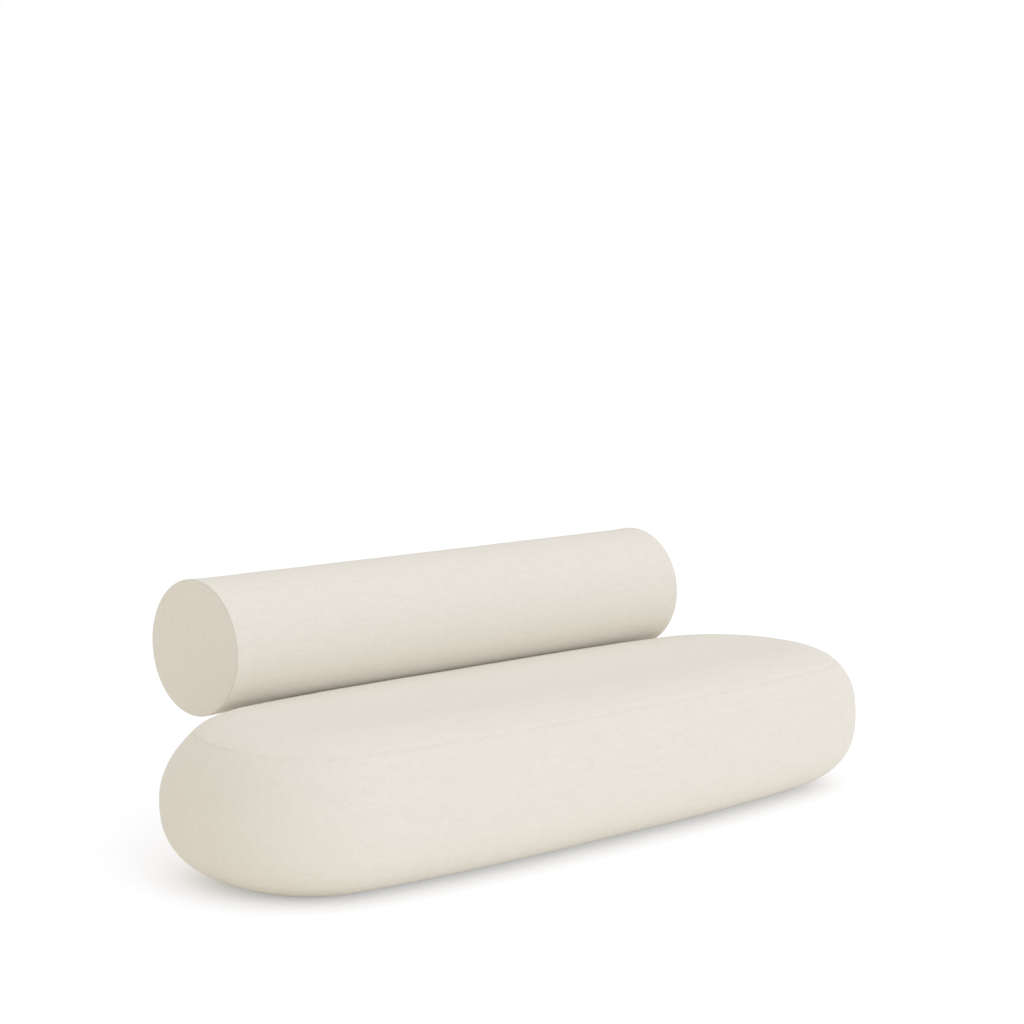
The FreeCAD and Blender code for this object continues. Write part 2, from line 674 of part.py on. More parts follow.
def bracket(side, x):
    # Flat bar, bent once: the lower leg lies on the rear rail, the upper leg leans back to the core tube
    body = doc.addObject("PartDesign::Body", f"{side}_bracket")
    sketch = sketch_on(body, "YZ_Plane", f"{side}_bracket_bend")
    thickness = size("bracket_thickness")
    rail_face = PLACES["frame_back"]
    foot = size("bracket_foot")
    across = Vector(0, -leg_direction.z, leg_direction.y)
    tube_end = bolster_axis - leg_direction * size("tube_radius")
    front_end = tube_end + across * (thickness / 2)
    back_end = tube_end - across * (thickness / 2)

    def down_leg(end, y):
        return end + leg_direction * ((y - end.y) / leg_direction.y)

    bend_front = down_leg(front_end, rail_face)
    bend_back = down_leg(back_end, rail_face + thickness)
    corners = [
        Vector(rail_face, foot, 0),
        Vector(bend_front.y, bend_front.z, 0),
        Vector(front_end.y, front_end.z, 0),
        Vector(back_end.y, back_end.z, 0),
        Vector(bend_back.y, bend_back.z, 0),
        Vector(rail_face + thickness, foot, 0),
    ]
    for index, corner in enumerate(corners):
        sketch.addGeometry(Part.LineSegment(corner, corners[(index + 1) % len(corners)]), False)
    axis_point = sketch.addGeometry(Part.Point(Vector(bolster_axis.y, bolster_axis.z, 0)), True)
    for index in range(len(corners)):
        following = (index + 1) % len(corners)
        sketch.addConstraint(Sketcher.Constraint("Coincident", index, 2, following, 1))
    sketch.addConstraint(Sketcher.Constraint("Vertical", 0))
    sketch.addConstraint(Sketcher.Constraint("Vertical", 4))
    sketch.addConstraint(Sketcher.Constraint("Horizontal", 5))
    sketch.addConstraint(Sketcher.Constraint("Parallel", 1, 3))
    sketch.addConstraint(Sketcher.Constraint("Perpendicular", 1, 2))
    place = Sketcher.Constraint("DistanceX", -1, 1, 0, 1, rail_face)
    bound(sketch, place, "rail_face", "Places.frame_back")
    bound(sketch, Sketcher.Constraint("DistanceY", -1, 1, 0, 1, foot), "foot", "Sizes.bracket_foot")
    bar = Sketcher.Constraint("DistanceX", 5, 2, 5, 1, thickness)
    bound(sketch, bar, "lower_bar", "Sizes.bracket_thickness")
    bound(sketch, Sketcher.Constraint("Distance", 2, thickness), "upper_bar", "Sizes.bracket_thickness")
    bound(sketch, Sketcher.Constraint("Angle", 1, math.radians(lean)), "lean", "Places.lean * 1 deg")
    axis_y = Sketcher.Constraint("DistanceX", -1, 1, axis_point, 1, bolster_axis.y)
    bound(sketch, axis_y, "axis_y", "Places.bolster_y")
    axis_z = Sketcher.Constraint("DistanceY", -1, 1, axis_point, 1, bolster_axis.z)
    bound(sketch, axis_z, "axis_z", "Places.bolster_z")
    beside = Sketcher.Constraint("Distance", axis_point, 1, 1, thickness / 2)
    bound(sketch, beside, "beside_axis", "Sizes.bracket_thickness / 2")
    reach = Sketcher.Constraint("Distance", axis_point, 1, 2, size("tube_radius"))
    bound(sketch, reach, "tube_reach", "Sizes.tube_radius")
    bar_pad = body.newObject("PartDesign::Pad", f"{side}_bracket_bar")
    bar_pad.Profile = sketch
    bar_pad.SideType = "Symmetric"
    bar_pad.setExpression("Length", "Sizes.bracket_width")
    doc.recompute()
    solid_volume = body.Shape.Volume
    holes = sketch_on(body, "XZ_Plane", f"{side}_bracket_holes")
    for row, level in enumerate(bolt_rows):
        for column, sign in enumerate((-1, 1)):
            centre = Vector(sign * size("bolt_pitch") / 2, level, 0)
            circle = holes.addGeometry(Part.Circle(centre, Vector(0, 0, 1), bolt_hole_radius), False)
            name = f"hole_{row}_{column}"
            radius = Sketcher.Constraint("Radius", circle, bolt_hole_radius)
            bound(holes, radius, f"{name}_radius", "Sizes.bolt_radius + Sizes.bolt_clearance")
            ends = (circle, 3, -1, 1) if sign < 0 else (-1, 1, circle, 3)
            across_bar = Sketcher.Constraint("DistanceX", *ends, size("bolt_pitch") / 2)
            bound(holes, across_bar, f"{name}_across", "Sizes.bolt_pitch / 2")
            up_bar = Sketcher.Constraint("DistanceY", -1, 1, circle, 3, level)
            height = f"Sizes.bracket_foot + Sizes.bolt_edge + {row} * Sizes.bolt_rise"
            bound(holes, up_bar, f"{name}_up", height)
    drilling = body.newObject("PartDesign::Pocket", f"{side}_bracket_drilling")
    drilling.Profile = holes
    drilling.SideType = "Symmetric"
    drilling.Type = "ThroughAll"
    step = {"left": "-Sizes.bracket_spacing", "middle": "0", "right": "Sizes.bracket_spacing"}[side]
    place_bound(body, step, "0", "0")
    doc.recompute()
    drilled_away = len(bolt_rows) * 2 * math.pi * bolt_hole_radius ** 2 * thickness
    if abs(solid_volume - body.Shape.Volume - drilled_away) > drilled_away * VOLUME_SLACK:
        raise RuntimeError(f"the bolt holes of the {side} bracket don't go through it")
    keep(body)


def hexagon(radius, start, run, height):
    corners = []
    for index in range(HEX_SIDES + 1):
        angle = 2 * math.pi * index / HEX_SIDES
        corners.append(start + Vector(math.cos(angle), 0, math.sin(angle)) * radius)
    return Part.Face(Part.makePolygon(corners)).extrude(run * height)


def bracket_fasteners():
    back = Vector(0, 1, 0)
    bolts = []
    washers = []
    nuts = []
    for place in bolt_places:
        outer_face = place + back * size("bracket_thickness")
        inner_face = place - back * size("rail_thickness")
        under_head = outer_face + back * size("washer_thickness")
        under_nut = inner_face - back * size("washer_thickness")
        nut_end = under_nut - back * size("nut_height")
        shank = rod(size("bolt_radius"), nut_end - back * size("bolt_end"), under_head)
        head = hexagon(size("hex_radius"), under_head, back, size("head_height"))
        bolts.append(shank.fuse(head).removeSplitter())
        for low, high in ((outer_face, under_head), (under_nut, inner_face)):
            washer = rod(size("washer_radius"), low, high)
            washers.append(washer.cut(rod(bolt_hole_radius, low, high)))
        nut = hexagon(size("hex_radius"), nut_end, back, size("nut_height"))
        nuts.append(nut.cut(rod(size("bolt_radius") + size("screw_fit"), nut_end, under_nut)))
    solid_piece("bracket_bolts", Part.makeCompound(bolts))
    solid_piece("bracket_washers", Part.makeCompound(washers))
    solid_piece("bracket_nuts", Part.makeCompound(nuts))


def round_plate(label, x, outer, bore, length):
    # A round plate or tube across the bolster's axis, starting at x: circles on the end plane, padded along X
    body = doc.addObject("PartDesign::Body", label)
    sketch = sketch_on(body, "YZ_Plane", label + "_section")
    bound_circle(sketch, "outer", *outer)
    bound_circle(sketch, "bore", *bore)
    pad = body.newObject("PartDesign::Pad", label + "_pad")
    pad.Profile = sketch
    pad.setExpression("Length", length)
    place_bound(body, x, "Places.bolster_y", "Places.bolster_z")
    return body


# Screws through each flange into its disc, on a circle round the tube
flange_screws = []
for sign in (-1, 1):
    for index in range(FLANGE_SCREWS):
        angle = 2 * math.pi * (index + 0.5) / FLANGE_SCREWS
        aside = Vector(0, math.cos(angle), math.sin(angle)) * size("flange_screw_circle")
        head_face = PLACES["flange_back"] - size("screw_head_height")
        head = bolster_axis + aside + Vector(sign * head_face, 0, 0)
        length = size("screw_head_height") + size("flange_thickness") + size("short_bite")
        flange_screws.append(Screw(head, Vector(sign, 0, 0), length))


def bolster_core():
    tube_bore = size("tube_radius") - size("tube_wall")
    keep(
        round_plate(
            "bolster_core_tube",
            "-Places.disc_face",
            (size("tube_radius"), "Sizes.tube_radius"),
            (tube_bore, "Sizes.tube_radius - Sizes.tube_wall"),
            "2 * Places.disc_face",
        )
    )
    around_tube = (size("tube_radius") + size("screw_fit"), "Sizes.tube_radius + Sizes.screw_fit")
    flange_rim = (size("flange_radius"), "Sizes.flange_radius")
    disc_rim = (PLACES["log_radius"], "Places.log_radius")
    half = len(flange_screws) // 2
    ends = (
        ("left", "-Places.disc_back", "-Places.disc_face", flange_screws[:half]),
        ("right", "Places.flange_back", "Places.disc_back", flange_screws[half:]),
    )
    for side, flange_x, disc_x, screws in ends:
        holes = [screw.hole() for screw in screws]
        for piece, x, rim, thickness in (
            (f"{side}_flange", flange_x, flange_rim, "Sizes.flange_thickness"),
            (f"{side}_end_disc", disc_x, disc_rim, "Sizes.disc_thickness"),
        ):
            drilled(piece, round_plate(piece + "_blank", x, rim, around_tube, thickness), holes)
    solid_piece("flange_screws", Part.makeCompound([screw.solid() for screw in flange_screws]))


def bolster_soft():
    log_radius = PLACES["log_radius"]
    wadding_radius = size("bolster_radius") - size("cover_thickness") - gap
    end = PLACES["disc_back"] - gap
    log = bolster_cylinder(log_radius, end)
    log = log.cut(bolster_cylinder(size("tube_radius") + gap, end))
    recess = PLACES["flange_back"] - size("screw_head_height") - gap
    for sign in (-1, 1):
        start = bolster_axis + Vector(sign * recess, 0, 0)
        log = log.cut(rod(size("flange_radius") + gap, start, bolster_axis + Vector(sign * end, 0, 0)))
    solid_piece("bolster_foam", log.cut(bracket_rooms))
    wadding = bolster_cylinder(wadding_radius, PLACES["pad_face"])
    wadding = wadding.cut(bolster_cylinder(log_radius + gap, PLACES["pad_face"]))
    solid_piece("bolster_wadding", wadding.cut(bracket_rooms))
    for side, sign in (("left", -1), ("right", 1)):
        inner = bolster_axis + Vector(sign * PLACES["disc_face"], 0, 0)
        outer = bolster_axis + Vector(sign * PLACES["pad_face"], 0, 0)
        solid_piece(f"{side}_end_pad", rod(log_radius, inner, outer))


def bolster_covers():
    radius = size("bolster_radius")
    inside = radius - size("cover_thickness")
    rim = size("bolster_length") / 2
    sleeve_end = rim - rim_radius
    sleeve = bolster_cylinder(radius, sleeve_end).cut(bolster_cylinder(inside, sleeve_end))
    solid_piece("bolster_sleeve", sleeve.cut(bracket_rooms))
    for side, sign in (("left", -1), ("right", 1)):

        def at(x, height, x_sign=sign):
            return bolster_axis + Vector(x_sign * x, 0, height)

        bend = rim_radius * math.sqrt(0.5)
        shoulder = radius - rim_radius
        crown = rim + size("cap_crown")
        swell = (shoulder ** 2 + size("cap_crown") ** 2) / (2 * size("cap_crown"))
        half_way = shoulder / 2
        half_swell = crown - swell + math.sqrt(swell ** 2 - half_way ** 2)
        flat = rim - size("cover_thickness")
        edges = [
            Part.LineSegment(at(sleeve_end, inside), at(sleeve_end, radius)),
            Part.Arc(at(sleeve_end, radius), at(sleeve_end + bend, shoulder + bend), at(rim, shoulder)),
            Part.Arc(at(rim, shoulder), at(half_swell, half_way), at(crown, 0)),
            Part.LineSegment(at(crown, 0), at(flat, 0)),
            Part.LineSegment(at(flat, 0), at(flat, inside)),
            Part.LineSegment(at(flat, inside), at(sleeve_end, inside)),
        ]
        section = Part.Face(Part.Wire([edge.toShape() for edge in edges]))
        solid_piece(f"{side}_bolster_cap", section.revolve(bolster_axis, Vector(1, 0, 0), 360))


floor_glides()
base_and_underside()
box_frame()
webbing()
core_foam()
seat_foam()
seat_covers()
hem_staples()
bolster_core()
for side, x in bracket_places.items():
    bracket(side, x)
bracket_fasteners()
bolster_soft()
bolster_covers()
doc.recompute()

# Every object has to be sound before anything is written
for feature in doc.Objects:
    if "Invalid" in feature.State or "Error" in feature.State:
        raise RuntimeError(f"{feature.Label} failed: {feature.State}")
for piece in parts:
    shape = piece.Shape
    if shape.isNull() or not shape.isValid() or not shape.Solids:
        raise RuntimeError(f"{piece.Label} has no sound solid")

os.makedirs("parts", exist_ok=True)
for piece in parts:
    piece.Shape.exportStep(f"parts/{piece.Label}.step")
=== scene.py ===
import math

import bpy
import numpy as np
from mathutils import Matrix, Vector, noise


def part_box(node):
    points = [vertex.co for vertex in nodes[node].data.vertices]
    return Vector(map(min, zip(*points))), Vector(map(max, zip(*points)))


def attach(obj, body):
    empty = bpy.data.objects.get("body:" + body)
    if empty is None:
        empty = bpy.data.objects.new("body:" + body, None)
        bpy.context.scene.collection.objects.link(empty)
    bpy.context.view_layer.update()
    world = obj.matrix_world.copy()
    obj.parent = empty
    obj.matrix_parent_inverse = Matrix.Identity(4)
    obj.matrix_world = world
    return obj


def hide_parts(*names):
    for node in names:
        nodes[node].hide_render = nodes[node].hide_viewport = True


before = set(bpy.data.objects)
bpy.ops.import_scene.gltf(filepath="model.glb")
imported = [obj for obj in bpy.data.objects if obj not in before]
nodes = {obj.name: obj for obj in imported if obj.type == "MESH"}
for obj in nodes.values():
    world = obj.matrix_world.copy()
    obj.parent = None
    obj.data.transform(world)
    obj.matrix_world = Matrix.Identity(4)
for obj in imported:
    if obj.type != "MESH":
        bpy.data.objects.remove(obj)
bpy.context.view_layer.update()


# Base board: birch plywood, 18 mm, cut to the seat's underside on a router. The box frame is screwed to it
# from below. The round discs at the ends of the bolster's core are cut from the same board.
def shade_node(material, kind, settings=None, inputs=None):
    made = material.node_tree.nodes.new(kind)
    for name, value in (settings or {}).items():
        setattr(made, name, value)
    for socket, value in (inputs or {}).items():
        if isinstance(value, bpy.types.NodeSocket):
            material.node_tree.links.new(value, made.inputs[socket])
        else:
            made.inputs[socket].default_value = value
    return made


def bare_material(name, color, roughness):
    material = bpy.data.materials.new(name)
    material.use_nodes = True
    shader = material.node_tree.nodes["Principled BSDF"]
    shader.inputs["Base Color"].default_value = (*color, 1)
    shader.inputs["Roughness"].default_value = roughness
    return material, shader


def object_pattern(material, stretch=(1, 1, 1), turn=(0, 0, 0)):
    place = shade_node(material, "ShaderNodeTexCoord")
    laid = {"Vector": place.outputs["Object"], "Scale": stretch, "Rotation": turn}
    return shade_node(material, "ShaderNodeMapping", inputs=laid).outputs["Vector"]


def speckle(material, vector, scale, detail=3, distortion=0.0):
    fine = {"Vector": vector, "Scale": scale, "Detail": detail, "Distortion": distortion}
    return shade_node(material, "ShaderNodeTexNoise", inputs=fine).outputs["Fac"]


def math_node(material, operation, first, second=0.0):
    return shade_node(material, "ShaderNodeMath", {"operation": operation}, {0: first, 1: second}).outputs[0]


def ramp(material, factor, stops):
    made = shade_node(material, "ShaderNodeValToRGB", inputs={"Fac": factor})
    elements = made.color_ramp.elements
    while len(elements) < len(stops):
        elements.new(0.5)
    for element, (position, color) in zip(elements, stops):
        element.position = position
        element.color = (*color, 1)
    return made.outputs["Color"]


def blend_colors(material, factor, first, second, mode="MIX"):
    kind = {"data_type": "RGBA", "blend_type": mode}
    return shade_node(material, "ShaderNodeMix", kind, {0: factor, 6: first, 7: second}).outputs[2]


def color_from(material, shader, color):
    material.node_tree.links.new(color, shader.inputs["Base Color"])


def bump(material, shader, height, distance, strength=1.0):
    relief = {"Height": height, "Distance": distance, "Strength": strength}
    made = shade_node(material, "ShaderNodeBump", inputs=relief)
    material.node_tree.links.new(made.outputs["Normal"], shader.inputs["Normal"])


def paint(material, *node_names):
    for name in node_names:
        slots = nodes[name].data.materials
        slots.clear()
        slots.append(material)


def plywood(name, thin_axis):
    material, shader = bare_material(name, (0.62, 0.42, 0.22), 0.62)
    grain = speckle(material, object_pattern(material, stretch=(1.4, 22, 22)), 2.6, 7, 0.9)
    pale = (0.73, 0.55, 0.33)
    veneer = ramp(material, grain, ((0.3, (0.50, 0.33, 0.16)), (0.5, (0.66, 0.47, 0.26)), (0.72, pale)))
    ply_thickness = 0.0015
    place = shade_node(material, "ShaderNodeTexCoord")
    along = shade_node(material, "ShaderNodeSeparateXYZ", inputs={0: place.outputs["Object"]})
    layer = math_node(material, "PINGPONG", along.outputs[thin_axis], ply_thickness)
    share = math_node(material, "DIVIDE", layer, ply_thickness)
    plies = ramp(material, share, ((0.42, (0.36, 0.22, 0.10)), (0.56, (0.68, 0.49, 0.28))))
    facing = shade_node(material, "ShaderNodeSeparateXYZ", inputs={0: place.outputs["Normal"]})
    flat = math_node(material, "ABSOLUTE", facing.outputs[thin_axis])
    on_face = math_node(material, "GREATER_THAN", flat, 0.7)
    color_from(material, shader, blend_colors(material, on_face, plies, veneer))
    bump(material, shader, grain, 0.0004, 0.5)
    return material


paint(plywood("birch_plywood", "Z"), "base_board")
paint(plywood("birch_plywood_discs", "X"), "left_end_disc", "right_end_disc")


# Box frame: planed softwood rails and ribs, butted and screwed. It stands on the base board inside the foam,
# carries the webbing on its top edges and the bolster's brackets on its rear rail.
def timber(name, stretch):
    material, shader = bare_material(name, (0.66, 0.48, 0.27), 0.6)
    grain = speckle(material, object_pattern(material, stretch=stretch), 3.2, 8, 1.4)
    pores = speckle(material, object_pattern(material, stretch=stretch), 60, 3)
    pale = (0.74, 0.57, 0.34)
    rings = ramp(material, grain, ((0.32, (0.46, 0.28, 0.12)), (0.47, (0.66, 0.47, 0.25)), (0.62, pale)))
    color_from(material, shader, blend_colors(material, 0.12, rings, pores, "MULTIPLY"))
    bump(material, shader, grain, 0.0006, 0.6)
    return material


paint(timber("rail_softwood", (0.9, 26, 26)), "front_rail", "rear_rail")
cross_pieces = [f"cross_rib_{number}" for number in range(1, 5)] + ["left_end_rail", "right_end_rail"]
paint(timber("rib_softwood", (26, 0.9, 26)), *cross_pieces)


# Screws, bolts, washers, nuts and staples: steel with a bright zinc plating. They are stock fasteners, and
# each group is driven or tightened as the frame, the brackets and the covers go on.
def zinc():
    material, shader = bare_material("zinc_plating", (0.70, 0.70, 0.68), 0.34)
    shader.inputs["Metallic"].default_value = 1.0
    cells = {"Vector": object_pattern(material), "Scale": 420}
    spangle = shade_node(material, "ShaderNodeTexVoronoi", inputs=cells).outputs["Color"]
    tone = ramp(material, spangle, ((0.1, (0.60, 0.60, 0.58)), (0.9, (0.78, 0.78, 0.76))))
    color_from(material, shader, tone)
    scratches = speckle(material, object_pattern(material, stretch=(1, 1, 9)), 300)
    rough = math_node(material, "MULTIPLY_ADD", scratches, 0.25)
    rough.node.inputs[2].default_value = 0.22
    material.node_tree.links.new(rough, shader.inputs["Roughness"])
    return material


paint(
    zinc(),
    "base_screws",
    "rail_screws",
    "glide_screws",
    "flange_screws",
    "bracket_bolts",
    "bracket_washers",
    "bracket_nuts",
    "hem_staples",
)


# Webbing: woven elastic straps, 70 mm wide, drawn tight and stapled to the rails. The long ones lie on the
# end rails and the short ones cross them, and together they carry the seat's firm foam.
JOIN_DISTANCE = 0.00002
STRAP_AROUND = 32
STRAP_ROWS = 41
STRAP_SQUARENESS = 0.12
STRAP_FLATNESS = 0.5
SELVEDGE_FROM = 0.9
SELVEDGE_TO = 0.96
SELVEDGE_RISE = 0.14


def wrapped(name, points, marks=None):
    # A grid of cloth laid onto rows of points, with the edges that meet joined
    rows, around = points.shape[:2]
    bpy.ops.object.select_all(action="DESELECT")
    bpy.ops.mesh.primitive_grid_add(x_subdivisions=around - 1, y_subdivisions=rows - 1, size=1)
    piece = bpy.context.object
    piece.name = name
    piece.data.name = name
    piece.data.vertices.foreach_set("co", points.astype(np.float32).ravel())
    for mark, values in (marks or {}).items():
        attribute = piece.data.attributes.new(mark, "FLOAT", "POINT")
        attribute.data.foreach_set("value", values.astype(np.float32).ravel())
    bpy.ops.object.mode_set(mode="EDIT")
    bpy.ops.mesh.select_all(action="SELECT")
    bpy.ops.mesh.remove_doubles(threshold=JOIN_DISTANCE)
    bpy.ops.mesh.normals_make_consistent(inside=False)
    bpy.ops.object.mode_set(mode="OBJECT")
    bpy.ops.object.shade_smooth()
    return piece


def settle(piece, material, slot, *replaced):
    piece.data.materials.clear()
    piece.data.materials.append(material)
    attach(piece, "root")
    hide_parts(*replaced)


def elastic_webbing():
    material, shader = bare_material("elastic_webbing", (0.05, 0.048, 0.042), 0.85)
    yarn = 0.0022
    turns_per_metre = math.pi / yarn
    place = shade_node(material, "ShaderNodeTexCoord")
    along = shade_node(material, "ShaderNodeSeparateXYZ", inputs={0: place.outputs["Object"]})
    waves = []
    for axis in ("X", "Y"):
        turned = math_node(material, "MULTIPLY", along.outputs[axis], turns_per_metre)
        waves.append(math_node(material, "SINE", turned))
    weave = math_node(material, "MULTIPLY", *waves)
    fuzz = speckle(material, object_pattern(material), 900)
    lifted = math_node(material, "ADD", weave, fuzz)
    tone = ramp(material, lifted, ((0.2, (0.022, 0.021, 0.019)), (1.0, (0.085, 0.08, 0.07))))
    color_from(material, shader, tone)
    bump(material, shader, lifted, 0.0006, 0.8)
    return material


def strap(node_name, material):
    low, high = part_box(node_name)
    middle = (low + high) / 2
    half = (high - low) / 2
    runs_along_x = half.x > half.y
    width = min(half.x, half.y)
    length = max(half.x, half.y)
    turn = np.linspace(0, 2 * math.pi, STRAP_AROUND + 1)
    across = width * np.sign(np.cos(turn)) * np.abs(np.cos(turn)) ** STRAP_SQUARENESS
    up = half.z * np.sign(np.sin(turn)) * np.abs(np.sin(turn)) ** STRAP_FLATNESS
    selvedge = np.clip((np.abs(across) / width - SELVEDGE_FROM) / (SELVEDGE_TO - SELVEDGE_FROM), 0, 1)
    up = up * (1 - SELVEDGE_RISE + SELVEDGE_RISE * selvedge)
    rows = [(along, 1.0) for along in np.linspace(-length, length, STRAP_ROWS)]
    rows = [(-length, 0.0)] + rows + [(length, 0.0)]
    points = np.zeros((len(rows), len(turn), 3))
    for row, (along, fullness) in enumerate(rows):
        points[row, :, 0] = along if runs_along_x else across
        points[row, :, 1] = across if runs_along_x else along
        points[row, :, 2] = up * fullness
    piece = wrapped("webbing_" + node_name, points + np.array(middle))
    settle(piece, material, "webbing", node_name)


webbing_weave = elastic_webbing()
for number in range(1, 4):
    strap(f"long_strap_{number}", webbing_weave)
for number in range(1, 12):
    strap(f"cross_strap_{number:02d}", webbing_weave)


# Seat foam: cold-cure polyurethane in three pieces. A firm block lies on the webbing, a moulded ring goes
# round the box frame, and a soft topper lies over both and gives the seat its crown. They are glued together.
SEAT_HALF_LENGTH = 1.206
SEAT_HALF_DEPTH = 0.432
FRONT_STRAIGHT = 0.480
FRONT_RADIUS = 5.0
CORNER_RADIUS = 0.370
END_RADIUS = 1.450
BULGE_HEIGHT = 0.222
FOOT_INSET = 0.175
FOOT_SWELL = 2.8
FOOT_ROUND = 1.4
CROWN_INSET = 0.252
SHOULDER_SWELL = 1.5
SHOULDER_ROUND = 3.5
FRONT_CORNER_FULLNESS = 0.0115
REAR_CORNER_DRAW = 0.0155
OUTLINE_QUARTER = 64
PROFILE_STEPS = 400
MIDDLE_SHARE = 0.62
HOLLOW_FADE = 0.03
seat_low, seat_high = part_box("seat_side_cover")
seat_y = (seat_low.y + seat_high.y) / 2
underside = seat_low.z
crown_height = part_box("seat_top_cover")[1].z
sleeve_low, sleeve_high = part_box("bolster_sleeve")
axis_y = (sleeve_low.y + sleeve_high.y) / 2
axis_z = (sleeve_low.z + sleeve_high.z) / 2
bolster_radius = (sleeve_high.z - sleeve_low.z) / 2
bolster_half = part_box("right_bolster_cap")[1].x


def quarter_outline():
    # A quarter of the seat's plan at its bulge, from the middle of the front to the tip of the right end
    bow = np.array((FRONT_STRAIGHT / 2, FRONT_RADIUS - SEAT_HALF_DEPTH))
    end = np.array((SEAT_HALF_LENGTH - END_RADIUS, 0.0))
    between = end - bow
    apart = np.hypot(*between)
    heading = between / apart
    bow_reach = FRONT_RADIUS - CORNER_RADIUS
    end_reach = END_RADIUS - CORNER_RADIUS
    along = (apart ** 2 + bow_reach ** 2 - end_reach ** 2) / (2 * apart)
    aside = math.sqrt(bow_reach ** 2 - along ** 2)
    corner = bow + heading * along + np.array((-heading[1], heading[0])) * aside
    bow_end = math.atan2(corner[1] - bow[1], corner[0] - bow[0])
    end_start = math.atan2(corner[1] - end[1], corner[0] - end[0])
    arcs = (
        (bow, FRONT_RADIUS, -math.pi / 2, bow_end),
        (corner, CORNER_RADIUS, bow_end, end_start),
        (end, END_RADIUS, end_start, 0.0),
    )
    lengths = [FRONT_STRAIGHT / 2] + [radius * (stop - start) for _, radius, start, stop in arcs]
    points = []
    normals = []
    for distance in np.linspace(0, sum(lengths), OUTLINE_QUARTER + 1):
        left = distance
        if left <= lengths[0]:
            points.append((left, -SEAT_HALF_DEPTH))
            normals.append((0.0, -1.0))
            continue
        left -= lengths[0]
        for (centre, radius, start, stop), length in zip(arcs, lengths[1:]):
            if left <= length + JOIN_DISTANCE:
                angle = start + min(left / radius, stop - start)
                normal = np.array((math.cos(angle), math.sin(angle)))
                points.append(centre + radius * normal)
                normals.append(normal)
                break
            left -= length
    return np.array(points), np.array(normals)


def seat_outline():
    # The whole plan and its outward normals, round from the middle of the front and back to it
    points, normals = quarter_outline()
    mirrors = ((1, 1, 1), (1, -1, -1), (-1, -1, 1), (-1, 1, -1))
    whole = []
    for values in (points, normals):
        sides = []
        for x_sign, y_sign, order in mirrors:
            sides.append((values * (x_sign, y_sign))[::order][:-1])
        whole.append(np.concatenate(sides + [values[:1]]))
    return whole


plan, plan_normals = seat_outline()


def profile_quarter(inset, rise, swell, roundness):
    angle = np.linspace(0, math.pi / 2, PROFILE_STEPS)
    inward = inset * (1 - np.clip(np.cos(angle), 0, 1) ** (2 / roundness))
    height = BULGE_HEIGHT + rise * np.sin(angle) ** (2 / swell)
    return np.stack((inward, height), axis=1)


def seat_profile():
    # Inset from the bulge and height, from the flat underside up to the crown, with the outward normals
    foot = profile_quarter(FOOT_INSET, underside - BULGE_HEIGHT, FOOT_SWELL, FOOT_ROUND)[::-1]
    shoulder = profile_quarter(CROWN_INSET, crown_height - BULGE_HEIGHT, SHOULDER_SWELL, SHOULDER_ROUND)
    curve = np.concatenate((foot, shoulder[1:]))
    steps = np.hypot(*np.diff(curve, axis=0).T)
    distance = np.concatenate(([0], np.cumsum(steps)))
    run = np.gradient(curve, distance, axis=0)
    normal = np.stack((-run[:, 1], run[:, 0]), axis=1)
    return distance, curve, normal / np.hypot(*normal.T)[:, None]


profile_distance, profile_curve, profile_normal = seat_profile()


def profile_rows(distances, depth):
    # Rows of the form at distances along the profile, each at a depth under the surface
    inset = np.interp(distances, profile_distance, profile_curve[:, 0])
    height = np.interp(distances, profile_distance, profile_curve[:, 1])
    normal_inset = np.interp(distances, profile_distance, profile_normal[:, 0])
    normal_height = np.interp(distances, profile_distance, profile_normal[:, 1])
    return np.stack((inset - depth * normal_inset, height - depth * normal_height), axis=1)


def distance_at(height):
    return float(np.interp(height, profile_curve[:, 1], profile_distance))


def seat_ring(inset, height):
    # The shoulder is a little fuller at the two front corners, and drawn in at the two rear ones
    share = np.clip((height - BULGE_HEIGHT) / (crown_height - BULGE_HEIGHT), 0, 1)
    corner = 2 * plan_normals[:, 1] * np.abs(plan_normals[:, 0])
    fuller = FRONT_CORNER_FULLNESS * np.sin(math.pi * share) ** 2 * np.clip(-corner, 0, None)
    drawn = REAR_CORNER_DRAW * np.sin(math.pi * share ** 3) * np.clip(corner, 0, None)
    drawn_in = inset + drawn - fuller
    ring = np.zeros((len(plan), 3))
    ring[:, :2] = plan - plan_normals * drawn_in[:, None]
    ring[:, 1] += seat_y
    ring[:, 2] = height
    return ring


def leaf_rows(ring, steps=8):
    # Rows from a ring to the middle line, like the veins of a leaf, which close the form
    middle = np.stack((plan[:, 0] * MIDDLE_SHARE, np.full(len(plan), seat_y), ring[:, 2]), axis=1)
    return [ring + (middle - ring) * share for share in np.linspace(0, 1, steps + 1)[1:]]


def press_hollow(points, radius):
    # The bolster presses a shallow hollow along the rear shoulder
    offset = points[..., 1:] - np.array((axis_y, axis_z))
    away = np.linalg.norm(offset, axis=-1)
    under = np.clip((bolster_half + HOLLOW_FADE - np.abs(points[..., 0])) / HOLLOW_FADE, 0, 1)
    push = np.clip(radius - away, 0, None) * under * under * (3 - 2 * under)
    points[..., 1:] += offset / away[..., None] * push[..., None]
    return points


def polyurethane(name, pale, dark):
    material, shader = bare_material(name, pale, 0.9)
    cells = {"Vector": object_pattern(material), "Scale": 520}
    pores = shade_node(material, "ShaderNodeTexVoronoi", inputs=cells).outputs["Distance"]
    mottle = speckle(material, object_pattern(material), 24, 4)
    tone = ramp(material, mottle, ((0.35, dark), (0.65, pale)))
    # The open cells are darkened in the foam's colour: painted shade in the pores
    shade = ramp(material, pores, ((0.1, (0.72, 0.72, 0.72)), (0.5, (1, 1, 1))))
    color_from(material, shader, blend_colors(material, 0.6, tone, shade, "MULTIPLY"))
    bump(material, shader, pores, 0.0012, 0.9)
    return material


